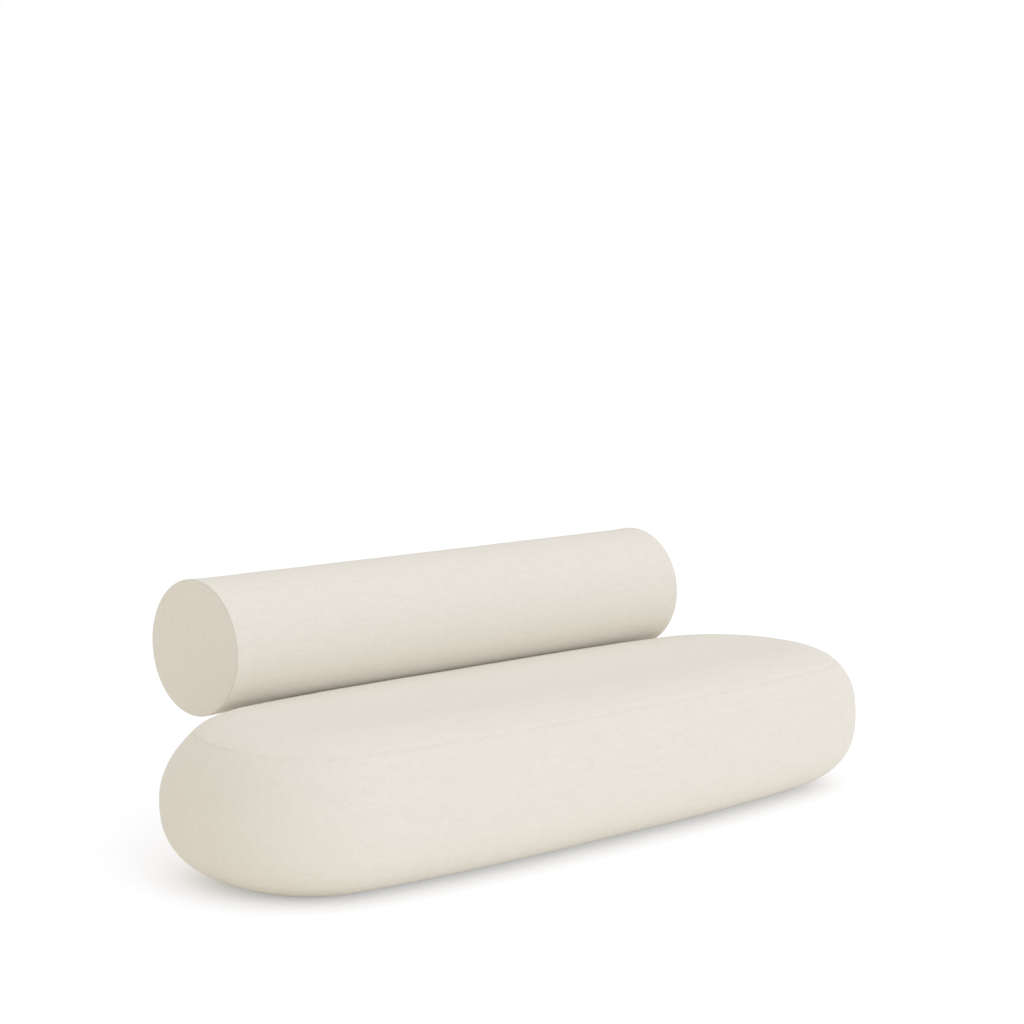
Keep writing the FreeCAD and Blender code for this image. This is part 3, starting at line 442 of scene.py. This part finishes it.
def alone(piece):
    bpy.ops.object.select_all(action="DESELECT")
    piece.select_set(True)
    bpy.context.view_layer.objects.active = piece


def apply_modifier(piece, kind, **settings):
    alone(piece)
    modifier = piece.modifiers.new(kind.lower(), kind)
    for name, value in settings.items():
        setattr(modifier, name, value)
    bpy.ops.object.modifier_apply(modifier=modifier.name)


def squared(low, high):
    bpy.ops.object.select_all(action="DESELECT")
    bpy.ops.mesh.primitive_cube_add(size=1, location=(low + high) / 2, scale=high - low)
    bpy.ops.object.transform_apply(location=True, rotation=True, scale=True)
    return bpy.context.object


def cut_away(piece, room):
    apply_modifier(piece, "BOOLEAN", operation="DIFFERENCE", object=room, solver="EXACT")
    bpy.data.objects.remove(room)


SOFT_GAP = 0.0003
CONTACT_INSET = 0.0985
BAR_THICKNESS = 0.008
frame_low = Vector((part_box("left_end_rail")[0].x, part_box("front_rail")[0].y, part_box("front_rail")[0].z))
frame_high = Vector((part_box("right_end_rail")[1].x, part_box("rear_rail")[1].y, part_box("rear_rail")[1].z))
bracket_names = ("left_bracket", "middle_bracket", "right_bracket")


def bracket_lean():
    # The brackets lean at right angles to the shoulder where the bolster lies on it
    shoulder = profile_curve[:, 1] > BULGE_HEIGHT
    insets = profile_curve[shoulder, 0]
    outward = np.interp(CONTACT_INSET, insets, profile_normal[shoulder, 0])
    upward = np.interp(CONTACT_INSET, insets, profile_normal[shoulder, 1])
    return math.atan2(upward, -outward)


def bracket_rooms():
    # One leaning slot for each bracket, as wide and thick as its flat bar and a little slack
    lean = bracket_lean()
    half_bar = BAR_THICKNESS / 2 + SOFT_GAP
    rooms = []
    for name in bracket_names:
        low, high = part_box(name)
        reach = (axis_y - low.y) / math.cos(lean)
        half_width = (high.x - low.x) / 2 + SOFT_GAP
        room = squared(Vector((-half_width, -half_bar, -reach)), Vector((half_width, half_bar, 0)))
        room.rotation_euler.x = lean - math.pi / 2
        room.location = ((low.x + high.x) / 2, axis_y, axis_z)
        rooms.append(room)
    bpy.ops.object.select_all(action="DESELECT")
    for room in rooms:
        room.select_set(True)
    bpy.context.view_layer.objects.active = rooms[0]
    bpy.ops.object.transform_apply(location=True, rotation=True, scale=True)
    bpy.ops.object.join()
    return rooms[0]


FOAM_DEPTH = 0.0062
FOAM_EDGE = 0.001
CORE_EASE = 0.005
TOPPER_ROWS = 22
RING_ROWS = 30


def seat_foam(name, rows, floor_ring, roof_ring):
    # Rows from the middle of the floor, out and up the side, and back to the middle of the roof
    floor_leaf = leaf_rows(floor_ring)[::-1]
    side = [seat_ring(*row) for row in rows]
    points = np.stack(floor_leaf + [floor_ring] + side + [roof_ring] + leaf_rows(roof_ring))
    return wrapped(name, press_hollow(points, bolster_radius + FOAM_DEPTH))


foam_material = polyurethane("seat_polyurethane", (0.86, 0.78, 0.56), (0.80, 0.70, 0.46))
core_block = squared(*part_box("core_foam"))
core_block.name = "seat_core_foam"
bpy.ops.object.mode_set(mode="EDIT")
bpy.ops.mesh.select_all(action="SELECT")
bpy.ops.mesh.bevel(offset=CORE_EASE, segments=3)
bpy.ops.object.mode_set(mode="OBJECT")
bpy.ops.object.shade_smooth_by_angle(angle=math.radians(35))
settle(core_block, foam_material, "foam", "core_foam")

topper_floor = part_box("top_foam")[0].z
topper_run = np.linspace(distance_at(topper_floor) + FOAM_EDGE, profile_distance[-1], TOPPER_ROWS)
topper_rows = profile_rows(topper_run, FOAM_DEPTH)
topper_rim = seat_ring(topper_rows[0][0], topper_floor)
topper = seat_foam("seat_topper_foam", topper_rows, topper_rim, seat_ring(*topper_rows[-1]))
cut_away(topper, bracket_rooms())
settle(topper, foam_material, "foam", "top_foam")

board_low, board_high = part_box("base_board")
board_inset = SEAT_HALF_LENGTH - board_high.x - SOFT_GAP
ring_run = np.linspace(distance_at(board_low.z), distance_at(topper_floor) - FOAM_EDGE, RING_ROWS)
ring_rows = profile_rows(ring_run, FOAM_DEPTH)
ring_rows = np.concatenate(([(board_inset, board_low.z + SOFT_GAP)], ring_rows))
ring_floor = seat_ring(board_inset, board_high.z)
ring_roof = seat_ring(ring_rows[-1][0], topper_floor - SOFT_GAP)
side_ring = seat_foam("seat_side_foam", ring_rows, ring_floor, ring_roof)
frame_slack = Vector((SOFT_GAP, SOFT_GAP, 1))
cut_away(side_ring, squared(frame_low - frame_slack, frame_high + frame_slack))
bolts_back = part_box("bracket_bolts")[1].y
bar_slack = Vector((SOFT_GAP, SOFT_GAP, SOFT_GAP))
for name in bracket_names:
    low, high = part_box(name)
    cut_away(side_ring, squared(low - bar_slack, Vector((high.x, bolts_back, frame_high.z)) + bar_slack))
cut_away(side_ring, bracket_rooms())
settle(side_ring, foam_material, "foam", "side_foam")


# Seat covers: wool felt with a knitted backing, cut as a long band and a top panel. They are sewn together
# round the upper shoulder, pulled over the foam, and the band is turned under the base board and stapled.
FELT_COLOR = (0.890, 0.845, 0.761)
FELT_THICKNESS = 0.0022
FILLING_SWELL = 0.0025
SEAM_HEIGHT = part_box("seat_top_cover")[0].z
SEAM_DEPTH = 0.0009
SEAM_WIDTH = 0.0032
SEAM_GAP = 0.00004
# SEAM_SHADE is painted shade: how far the felt's colour is darkened in the seam grooves
SEAM_SHADE = 0.03
SEAM_SHADE_WIDTH = 0.0016
SEAM_EDGES = (0.0006, 0.0036)
SEAM_RISE = 0.013
SEAM_REACH = 0.15
CLIMB_FROM = -0.8
CLIMB_TO = 0.6
HELD_BESIDE_SEAM = 0.010
FREE_BESIDE_SEAM = 0.060
SWELL_FRAMES = 20
UNEVEN_RISE = 0.0005
UNEVEN_WAVES = 7.0
HEM_INSET = 0.193


def wool_felt(name):
    material, shader = bare_material(name, FELT_COLOR, 0.95)
    shader.inputs["Specular IOR Level"].default_value = 0.12
    shader.inputs["Sheen Weight"].default_value = 0.3
    shader.inputs["Sheen Roughness"].default_value = 0.6
    fibres = speckle(material, object_pattern(material), 760, 4, 0.8)
    laid = object_pattern(material, stretch=(1, 2.2, 2.6), turn=(0.2, 0.1, 0.15))
    nap = speckle(material, laid, 190, 6, 0.5)
    melange = speckle(material, object_pattern(material, stretch=(0.5, 1.2, 1.6)), 48, 6)
    grain = ramp(material, fibres, ((0.30, (0.90, 0.89, 0.87)), (0.58, (1.0, 1.0, 1.0))))
    flecks = ramp(material, nap, ((0.34, (0.915, 0.91, 0.895)), (0.62, (1.0, 1.0, 1.0))))
    drift = ramp(material, melange, ((0.36, (0.972, 0.968, 0.960)), (0.64, (1.0, 1.0, 1.0))))
    mixed = blend_colors(material, 0.6, (*FELT_COLOR, 1), grain, "MULTIPLY")
    mixed = blend_colors(material, 0.8, mixed, flecks, "MULTIPLY")
    mixed = blend_colors(material, 0.8, mixed, drift, "MULTIPLY")
    # Along the seams the felt's colour is multiplied towards dark brown: painted shade in the seam grooves
    seam = shade_node(material, "ShaderNodeAttribute", {"attribute_name": "painted_seam_shade"}).outputs["Fac"]
    color_from(material, shader, blend_colors(material, seam, mixed, (0.50, 0.44, 0.36, 1), "MULTIPLY"))
    bump(material, shader, math_node(material, "ADD", fibres, nap), 0.0006, 0.5)
    return material


def coordinates(mesh):
    flat = np.zeros(len(mesh.vertices) * 3, np.float32)
    mesh.vertices.foreach_get("co", flat)
    return flat.reshape(-1, 3).astype(float)


def swell_of(piece, held_share):
    # The cover as a cloth that air pressure swells for twenty frames, with its sewn rows held
    start = coordinates(piece.data)
    held = piece.vertex_groups.new(name="held")
    for index, share in enumerate(held_share):
        held.add([index], share, "REPLACE")
    cloth = piece.modifiers.new("filling", "CLOTH")
    cloth.collision_settings.use_collision = False
    cloth.settings.quality = 4
    cloth.settings.mass = 0.02
    cloth.settings.use_pressure = True
    cloth.settings.uniform_pressure_force = 4.0
    cloth.settings.vertex_group_mass = held.name
    cloth.settings.effector_weights.gravity = 0.0
    cloth.point_cache.frame_start = 1
    cloth.point_cache.frame_end = SWELL_FRAMES
    for moment in range(1, SWELL_FRAMES + 1):
        bpy.context.scene.frame_set(moment)
    swollen = piece.evaluated_get(bpy.context.evaluated_depsgraph_get())
    moved = coordinates(swollen.data) - start
    piece.modifiers.remove(cloth)
    piece.vertex_groups.remove(held)
    bpy.context.scene.frame_set(1)
    return moved


def fill_out(piece, most):
    # Swells a cover until its filling stops it, and leaves the faint unevenness of hand-pulled felt
    slack = np.zeros(len(piece.data.vertices), np.float32)
    piece.data.attributes["slack"].data.foreach_get("value", slack)
    start = coordinates(piece.data)
    normals = np.zeros(start.size, np.float32)
    piece.data.vertex_normals.foreach_get("vector", normals)
    normals = normals.reshape(-1, 3)
    moved = swell_of(piece, 1.0 - slack)
    outward = np.clip(np.sum(moved * normals, axis=1), 0, most * slack)
    uneven = np.array([noise.noise(Vector(point) * UNEVEN_WAVES) for point in start])
    return start + normals * (outward + uneven * slack * UNEVEN_RISE)[:, None]


def felt_piece(piece, filled):
    piece.data.vertices.foreach_set("co", filled.astype(np.float32).ravel())
    piece.data.update()
    piece.data.attributes.remove(piece.data.attributes["slack"])
    apply_modifier(piece, "SUBSURF", levels=1, render_levels=1)
    apply_modifier(piece, "SOLIDIFY", thickness=FELT_THICKNESS, offset=-1.0)
    alone(piece)
    bpy.ops.object.shade_smooth()


def smooth_step(values):
    values = np.clip(values, 0, 1)
    return values * values * (3 - 2 * values)


def free_to_swell(from_seam):
    return smooth_step((np.abs(from_seam) - HELD_BESIDE_SEAM) / (FREE_BESIDE_SEAM - HELD_BESIDE_SEAM))


def seam_dip(from_seam):
    return SEAM_DEPTH * np.exp(-((from_seam / SEAM_WIDTH) ** 2))


# Painted shade along a seam's groove, fading with the distance from it
def seam_shade(from_seam):
    return SEAM_SHADE * np.exp(-((from_seam / SEAM_SHADE_WIDTH) ** 2))


def cover_rings(distances, depths):
    # Rings of a cover. The seam climbs a little round the ends and the rear, and its neighbours go with it
    climb = SEAM_RISE * smooth_step((plan[:, 1] / SEAT_HALF_DEPTH - CLIMB_FROM) / (CLIMB_TO - CLIMB_FROM))
    rings = []
    for distance, depth in zip(distances, depths):
        near_seam = 1 - smooth_step(abs(distance - seam_distance) / SEAM_REACH)
        rings.append(seat_ring(*profile_rows(distance + climb * near_seam, depth).T))
    return rings


def seat_cover(name, rings, slack, shade):
    spread = np.ones(len(plan))
    marks = {"slack": np.outer(slack, spread), "painted_seam_shade": np.outer(shade, spread)}
    cover = wrapped(name, np.stack(rings), marks)
    filled = fill_out(cover, FILLING_SWELL)
    felt_piece(cover, press_hollow(filled, bolster_radius + SOFT_GAP))
    cut_away(cover, bracket_rooms())
    return cover


felt = wool_felt("cream_wool_felt")
seam_distance = distance_at(SEAM_HEIGHT)
beside_seam = np.array((0.0001, 0.0006, 0.0015, 0.003, 0.0055, 0.009, 0.014, 0.021))
row_pitch = 0.0165
turn_depths = SEAM_DEPTH + np.array(SEAM_EDGES)

wall = np.arange(0.0, seam_distance - beside_seam[-1] - row_pitch / 2, row_pitch)
wall = np.concatenate((wall, seam_distance - beside_seam[::-1]))
wall_free = free_to_swell(wall - seam_distance) * free_to_swell(wall)
side_rings = [seat_ring(inset, underside) for inset in (HEM_INSET, (HEM_INSET + FOOT_INSET) / 2)]
side_rings += cover_rings(wall, seam_dip(wall - seam_distance) + FILLING_SWELL * wall_free)
side_rings += cover_rings(np.full(2, seam_distance - SEAM_GAP), turn_depths)
side_slack = np.concatenate(((0, 0), wall_free, (0, 0)))
side_shade = np.concatenate(((0, 0), seam_shade(wall - seam_distance), (SEAM_SHADE, SEAM_SHADE)))
side_cover = seat_cover("seat_side_felt", side_rings, side_slack, side_shade)
settle(side_cover, felt, "cover_felt", "seat_side_cover")

leaf_steps = 12
roof = np.arange(seam_distance + beside_seam[-1] + row_pitch, profile_distance[-1] - row_pitch / 2, row_pitch)
roof = np.concatenate((seam_distance + beside_seam, roof, profile_distance[-1:]))
roof_free = free_to_swell(roof - seam_distance)
top_rings = cover_rings(np.full(2, seam_distance + SEAM_GAP), turn_depths[::-1])
top_rings += cover_rings(roof, seam_dip(roof - seam_distance) + FILLING_SWELL * roof_free)
top_rings += leaf_rows(top_rings[-1], leaf_steps)
top_slack = np.concatenate(((0, 0), roof_free, np.ones(leaf_steps)))
top_shade = np.concatenate(((SEAM_SHADE, SEAM_SHADE), seam_shade(roof - seam_distance), np.zeros(leaf_steps)))
top_cover = seat_cover("seat_top_felt", top_rings, top_slack, top_shade)
settle(top_cover, felt, "cover_felt", "seat_top_cover")


# Topstitch: polyester thread in the felt's own colour. It holds the seam's turned edges down, so a row of
# short stitches runs round the band just under the seam, each sunk half into the felt.
THREAD_RADIUS = 0.00045
STITCH_PITCH = 0.0048
STITCH_BELOW_SEAM = 0.0065
STITCH_SHARE = 0.84


def sewing_thread():
    material, shader = bare_material("cream_thread", FELT_COLOR, 0.55)
    twist = speckle(material, object_pattern(material, stretch=(1, 1, 3)), 1800, 2)
    tone = ramp(material, twist, ((0.35, (0.70, 0.66, 0.58)), (0.6, FELT_COLOR)))
    color_from(material, shader, tone)
    bump(material, shader, twist, 0.0002, 0.6)
    return material


def stitch_row(name, ring):
    # One stitch, repeated and laid along a closed line
    length = np.linalg.norm(np.diff(ring, axis=0), axis=1).sum()
    count = round(length / STITCH_PITCH)
    pitch = length / count
    bpy.ops.object.select_all(action="DESELECT")
    bpy.ops.mesh.primitive_circle_add(vertices=len(ring) - 1)
    line = bpy.context.object
    line.data.vertices.foreach_set("co", ring[:-1].astype(np.float32).ravel())
    bpy.ops.object.convert(target="CURVE")
    bpy.ops.object.select_all(action="DESELECT")
    bpy.ops.mesh.primitive_uv_sphere_add(segments=8, ring_count=4, radius=1, location=(pitch / 2, 0, 0))
    row = bpy.context.object
    row.name = name
    row.scale = (pitch * STITCH_SHARE / 2, THREAD_RADIUS, THREAD_RADIUS)
    bpy.ops.object.transform_apply(location=True, rotation=True, scale=True)
    bpy.ops.object.shade_smooth()
    evenly = {"use_constant_offset": True, "constant_offset_displace": (pitch, 0, 0)}
    apply_modifier(row, "ARRAY", count=count, use_relative_offset=False, **evenly)
    apply_modifier(row, "CURVE", object=line)
    bpy.data.objects.remove(line)
    return row


stitch_line = cover_rings([seam_distance - STITCH_BELOW_SEAM], [0.0])[0]
topstitch = stitch_row("seat_topstitch", press_hollow(stitch_line, bolster_radius + SOFT_GAP + THREAD_RADIUS))
topstitch.data.materials.append(sewing_thread())
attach(topstitch, "root")


# Dust cover: black spunbond cloth that closes the underside. Its edge is tucked under the hem, and the glides
# that are screwed through it keep it drawn flat.
SPUNBOND_THICKNESS = 0.0006
DUST_ROWS = 20


def spunbond():
    material, shader = bare_material("black_spunbond", (0.018, 0.018, 0.019), 0.8)
    dots = {"Vector": object_pattern(material), "Scale": 380, "Randomness": 0.15}
    bonds = shade_node(material, "ShaderNodeTexVoronoi", inputs=dots).outputs["Distance"]
    fibres = speckle(material, object_pattern(material), 700, 5)
    tone = ramp(material, fibres, ((0.3, (0.010, 0.010, 0.011)), (0.7, (0.032, 0.032, 0.034))))
    color_from(material, shader, tone)
    bump(material, shader, bonds, 0.0005, 0.7)
    return material


dust_low, dust_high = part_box("dust_cover")
dust_ring = seat_ring(SEAT_HALF_LENGTH - dust_high.x, (dust_low.z + dust_high.z) / 2)
dust_cloth = wrapped("dust_cloth", np.stack([dust_ring] + leaf_rows(dust_ring, DUST_ROWS)))
apply_modifier(dust_cloth, "SUBSURF", levels=1, render_levels=1)
apply_modifier(dust_cloth, "SOLIDIFY", thickness=SPUNBOND_THICKNESS, offset=0.0)
settle(dust_cloth, spunbond(), "dust_cloth", "dust_cover")


# Floor glides: black polypropylene buttons, moulded, with a chamfered edge. Each is screwed up into the base
# board through the dust cover, and they hold the felt a few millimetres off the floor.
def polypropylene():
    material, shader = bare_material("black_polypropylene", (0.022, 0.022, 0.022), 0.48)
    spark = speckle(material, object_pattern(material), 1500, 2)
    scuff = speckle(material, object_pattern(material, stretch=(1, 6, 1)), 60, 6)
    tone = ramp(material, scuff, ((0.45, (0.020, 0.020, 0.020)), (0.8, (0.050, 0.049, 0.047))))
    color_from(material, shader, tone)
    bump(material, shader, spark, 0.0002, 0.4)
    return material


paint(polypropylene(), "floor_glides")


# Brackets, core tube and flanges: mild steel, cut, bent, welded and powder-coated in matt black. The brackets
# are bolted to the rear rail, lean back through the covers and carry the tube inside the bolster.
def powder_coat():
    material, shader = bare_material("black_powder_coat", (0.020, 0.020, 0.021), 0.55)
    peel = speckle(material, object_pattern(material), 750, 2)
    rubbed = speckle(material, object_pattern(material), 45, 6)
    tone = ramp(material, rubbed, ((0.5, (0.017, 0.017, 0.018)), (0.85, (0.045, 0.044, 0.043))))
    color_from(material, shader, tone)
    bump(material, shader, peel, 0.00035, 0.5)
    return material


paint(powder_coat(), *bracket_names, "bolster_core_tube", "left_flange", "right_flange")


# Bolster filling: a turned log of firm foam on the core tube, wrapped in polyester wadding, with a soft pad
# on the disc at each end. The wadding is glued where it meets, and gives the sleeve its even round.
CLOSING_ANGLE = math.radians(-40)
SCREW_ROOM = 0.004
EASED_EDGE = 0.003
WADDING_ROOM = 0.0028
BOLSTER_AROUND = 96
TUBE_ROWS = 40
even_turn = CLOSING_ANGLE + np.linspace(0, 2 * math.pi, BOLSTER_AROUND + 1)


def turned(name, rows, turn=even_turn, dip=0.0, marks=None):
    # A form of revolution about the bolster's axis, from rows of place along it and radius
    along, radius = np.array(rows).T
    reach = radius[:, None] - dip * np.ones((len(radius), len(turn)))
    across = axis_y + reach * np.cos(turn)
    height = axis_z + reach * np.sin(turn)
    points = np.stack((along[:, None] * np.ones(len(turn)), across, height), axis=2)
    return wrapped(name, points, marks)


def rounded_tube(start, stop, bore, radius):
    # Rows round the wall of a tube or disc whose outer edges are eased, and back to where they began
    bend = EASED_EDGE * (1 - math.sqrt(0.5))
    run = np.linspace(start + EASED_EDGE, stop - EASED_EDGE, TUBE_ROWS)
    rows = [(start, bore), (start, radius - EASED_EDGE), (start + bend, radius - bend)]
    rows += [(along, radius) for along in run]
    rows += [(stop - bend, radius - bend), (stop, radius - EASED_EDGE), (stop, bore)]
    if bore > 0:
        rows += [(along, bore) for along in run[::-1]] + [(start, bore)]
    return rows


def half_height(node_name):
    low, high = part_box(node_name)
    return (high.z - low.z) / 2


def polyester_wadding():
    material, shader = bare_material("polyester_wadding", (0.88, 0.88, 0.87), 0.9)
    shader.inputs["Sheen Weight"].default_value = 0.3
    fluff = speckle(material, object_pattern(material, stretch=(1, 3, 3)), 90, 8, 1.6)
    tone = ramp(material, fluff, ((0.3, (0.78, 0.78, 0.77)), (0.65, (0.92, 0.92, 0.91))))
    color_from(material, shader, tone)
    bump(material, shader, fluff, 0.004, 0.8)
    return material


log_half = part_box("bolster_foam")[1].x
log_radius = half_height("bolster_foam")
log_bore = half_height("bolster_core_tube") + SOFT_GAP
log = turned("bolster_foam_log", rounded_tube(-log_half, log_half, log_bore, log_radius))
for side, sign in (("left", -1), ("right", 1)):
    flange_inside = min(abs(corner.x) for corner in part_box(f"{side}_flange")) - SCREW_ROOM
    recess = half_height(f"{side}_flange") + SOFT_GAP
    open_end = log_half + SCREW_ROOM
    room_rows = [(flange_inside, 0), (flange_inside, recess), (open_end, recess), (open_end, 0)]
    cut_away(log, turned("flange_room", [(sign * along, radius) for along, radius in room_rows]))
cut_away(log, bracket_rooms())
settle(log, foam_material, "foam", "bolster_foam")

wadding_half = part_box("bolster_wadding")[1].x
wadding_radius = bolster_radius - FELT_THICKNESS - WADDING_ROOM
wadding_rows = rounded_tube(-wadding_half, wadding_half, log_radius + SOFT_GAP, wadding_radius)
wadding = turned("bolster_wadding_wrap", wadding_rows)
cut_away(wadding, bracket_rooms())
settle(wadding, polyester_wadding(), "wadding", "bolster_wadding")

for side in ("left", "right"):
    pad_low, pad_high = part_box(f"{side}_end_pad")
    pad = turned(f"{side}_end_pad_foam", rounded_tube(pad_low.x, pad_high.x, 0.0, log_radius))
    settle(pad, foam_material, "foam", f"{side}_end_pad")


# Bolster covers: the same felt, cut as a sleeve that closes low along its back, and a disc for each end. The
# discs are sewn to the sleeve with a plain seam that sits right on the crisp rim.
RIM_ROUND = 0.0032
CAP_CROWN = 0.005
# RIM_SHADE is painted shade: how far the cap's felt is darkened in its rim seam
RIM_SHADE = 0.08
RIM_EDGE = 0.001
SLEEVE_SWELL = 0.002
CAP_SWELL = 0.003
RIM_CLEAR = 0.035
SLEEVE_ROWS = 86
CAP_CLEAR = 0.03
CAP_RINGS = 13
rim = bolster_half - CAP_CROWN


def rim_row(angle):
    # A place on the small round of the rim, from 0 on the sleeve to a right angle on the cap
    return rim - RIM_ROUND * (1 - math.sin(angle)), bolster_radius - RIM_ROUND * (1 - math.cos(angle))


sewn_depths = (0.0038, 0.0076)
beside_rim = (0.0, 0.003, 0.008, 0.016)
sleeve_edge = [(rim - depth - SEAM_GAP, bolster_radius - depth + SEAM_GAP) for depth in sewn_depths[::-1]]
sleeve_edge += [rim_row(angle) for angle in np.radians((44, 30, 15))]
sleeve_edge += [(rim - RIM_ROUND - back, bolster_radius) for back in beside_rim]
run_end = rim - RIM_CLEAR
middle_run = [(along, bolster_radius) for along in np.linspace(-run_end, run_end, SLEEVE_ROWS)]
sleeve_rows = np.array([(-along, radius) for along, radius in sleeve_edge] + middle_run + sleeve_edge[::-1])
from_rim = rim - np.abs(sleeve_rows[:, 0])
sleeve_free = free_to_swell(from_rim)
beside_closing = beside_seam / bolster_radius
sewn_turn = np.concatenate(
    (
        even_turn[:1],
        CLOSING_ANGLE + beside_closing,
        even_turn[3:-3],
        CLOSING_ANGLE + 2 * math.pi - beside_closing[::-1],
        even_turn[-1:],
    )
)
from_closing = bolster_radius * np.minimum(sewn_turn - CLOSING_ANGLE, CLOSING_ANGLE + 2 * math.pi - sewn_turn)
closing_free = free_to_swell(from_closing)
sleeve_marks = {
    "slack": np.outer(sleeve_free, closing_free),
    # Painted shade along the rim seams and the closing seam of the sleeve
    "painted_seam_shade": np.maximum(seam_shade(from_rim)[:, None], seam_shade(from_closing)[None, :]),
}
sleeve_dip = np.outer(sleeve_free, seam_dip(from_closing) + SLEEVE_SWELL * closing_free)
sleeve = turned("bolster_sleeve_felt", sleeve_rows, sewn_turn, sleeve_dip, sleeve_marks)
felt_piece(sleeve, fill_out(sleeve, SLEEVE_SWELL))
cut_away(sleeve, bracket_rooms())
settle(sleeve, felt, "cover_felt", "bolster_sleeve")

cap_edge = [(rim - depth + SEAM_GAP, bolster_radius - depth - SEAM_GAP) for depth in sewn_depths[::-1]]
cap_edge += [rim_row(angle) for angle in np.radians((46, 60, 75, 90))]
cap_radius = bolster_radius - RIM_ROUND
cap_run = np.concatenate((beside_rim[1:], np.linspace(CAP_CLEAR, cap_radius, CAP_RINGS)))
cap_rows = np.array(cap_edge + [(rim, cap_radius - inward) for inward in cap_run])
from_edge = bolster_radius - cap_rows[:, 1]
cap_free = free_to_swell(from_edge)
# Painted shade along the rim seam where each cap meets the sleeve
cap_shade = RIM_SHADE * np.exp(-((np.maximum(from_edge - RIM_EDGE, 0) / SEAM_SHADE_WIDTH) ** 2))
cap_spread = np.ones(len(even_turn))
cap_marks = {"slack": np.outer(cap_free, cap_spread), "painted_seam_shade": np.outer(cap_shade, cap_spread)}
for side, sign in (("left", -1), ("right", 1)):
    cap = turned(f"{side}_bolster_cap_felt", cap_rows * (sign, 1), marks=cap_marks)
    felt_piece(cap, fill_out(cap, CAP_SWELL))
    settle(cap, felt, "cover_felt", f"{side}_bolster_cap")


# Stage: a white floor that keeps the sofa's shadow, a white surround with a warm soft fill, a broad cool
# light from the front and another from above, and the camera at the photograph's angle.
def mostly_seen(tree):
    # One for rays that show a surface to the camera, straight, mirrored or through glass, else nought
    rays = tree.nodes.new("ShaderNodeLightPath")
    seen = rays.outputs["Is Camera Ray"]
    for kind in ("Is Glossy Ray", "Is Transmission Ray"):
        either = tree.nodes.new("ShaderNodeMath")
        either.operation = "MAXIMUM"
        tree.links.new(seen, either.inputs[0])
        tree.links.new(rays.outputs[kind], either.inputs[1])
        seen = either.outputs[0]
    return seen


def seen_or_soft(tree, output, seen_shader, soft_shader):
    choice = tree.nodes.new("ShaderNodeMixShader")
    tree.links.new(mostly_seen(tree), choice.inputs[0])
    tree.links.new(soft_shader.outputs[0], choice.inputs[1])
    tree.links.new(seen_shader.outputs[0], choice.inputs[2])
    tree.links.new(choice.outputs[0], tree.nodes.new(output).inputs["Surface"])


FLOOR_RADIUS = 60.0
SEEN_GLOW = ((0.84, 0.88, 1.0, 1), 0.30)
BOUNCE_GLOW = ((1.0, 0.95, 0.70, 1), 0.11)


def white_floor():
    material = bpy.data.materials.new("white_floor")
    material.use_nodes = True
    material.node_tree.nodes.clear()
    matt = shade_node(material, "ShaderNodeBsdfDiffuse", inputs={"Color": (0.92, 0.92, 0.92, 1)})
    lifted = []
    for color, strength in (SEEN_GLOW, BOUNCE_GLOW):
        glow = shade_node(material, "ShaderNodeEmission", inputs={"Color": color, "Strength": strength})
        both = {0: matt.outputs[0], 1: glow.outputs[0]}
        lifted.append(shade_node(material, "ShaderNodeAddShader", inputs=both))
    seen_or_soft(material.node_tree, "ShaderNodeOutputMaterial", *lifted)
    return material


def backdrop(tree, color, strength):
    made = tree.nodes.new("ShaderNodeBackground")
    made.inputs["Color"].default_value = (*color, 1)
    made.inputs["Strength"].default_value = strength
    return made


bpy.ops.object.select_all(action="DESELECT")
bpy.ops.mesh.primitive_circle_add(vertices=96, radius=FLOOR_RADIUS, fill_type="NGON")
floor = bpy.context.object
floor.name = "floor"
floor.data.materials.append(white_floor())

world = bpy.data.worlds.new("white_surround")
bpy.context.scene.world = world
world.use_nodes = True
world.node_tree.nodes.clear()
white = backdrop(world.node_tree, (1, 1, 1), 1.0)
warm_fill = backdrop(world.node_tree, (1.0, 0.941, 0.831), 0.575)
seen_or_soft(world.node_tree, "ShaderNodeOutputWorld", white, warm_fill)


def broad_light(name, towards, spread, energy, color):
    bpy.ops.object.select_all(action="DESELECT")
    bpy.ops.object.light_add(type="SUN", location=(0, 0, 3))
    lamp = bpy.context.object
    lamp.name = name
    lamp.data.angle = math.radians(spread)
    lamp.data.energy = energy
    lamp.data.color = color
    lamp.rotation_mode = "QUATERNION"
    lamp.rotation_quaternion = Vector(towards).to_track_quat("-Z", "Y")


broad_light("front_key", towards=(0.05, 1.0, 0.0), spread=60, energy=1.29, color=(0.665, 0.783, 1.0))
broad_light("top_light", towards=(-0.1, 0.15, -1.0), spread=100, energy=1.12, color=(0.80, 0.87, 1.0))

SENSOR_WIDTH = 36.0
FOCAL_PIXELS = 2515.0
FRAME_PIXELS = 1024.0
CAMERA_YAW = math.radians(44.96)
CAMERA_PITCH = math.radians(6.08)
CAMERA_FROM_AXIS = Vector((-4.968, -5.3054, 1.0739))
bpy.ops.object.select_all(action="DESELECT")
bpy.ops.object.camera_add(location=Vector((0, axis_y, axis_z)) + CAMERA_FROM_AXIS)
camera = bpy.context.object
camera.name = "camera"
camera.data.sensor_width = SENSOR_WIDTH
camera.data.lens = SENSOR_WIDTH * FOCAL_PIXELS / FRAME_PIXELS
camera.data.clip_end = 200
level = math.cos(CAMERA_PITCH)
sight = Vector((math.sin(CAMERA_YAW) * level, math.cos(CAMERA_YAW) * level, -math.sin(CAMERA_PITCH)))
camera.rotation_mode = "QUATERNION"
camera.rotation_quaternion = sight.to_track_quat("-Z", "Y")
bpy.context.scene.camera = camera
bpy.context.scene.view_settings.view_transform = "Standard"
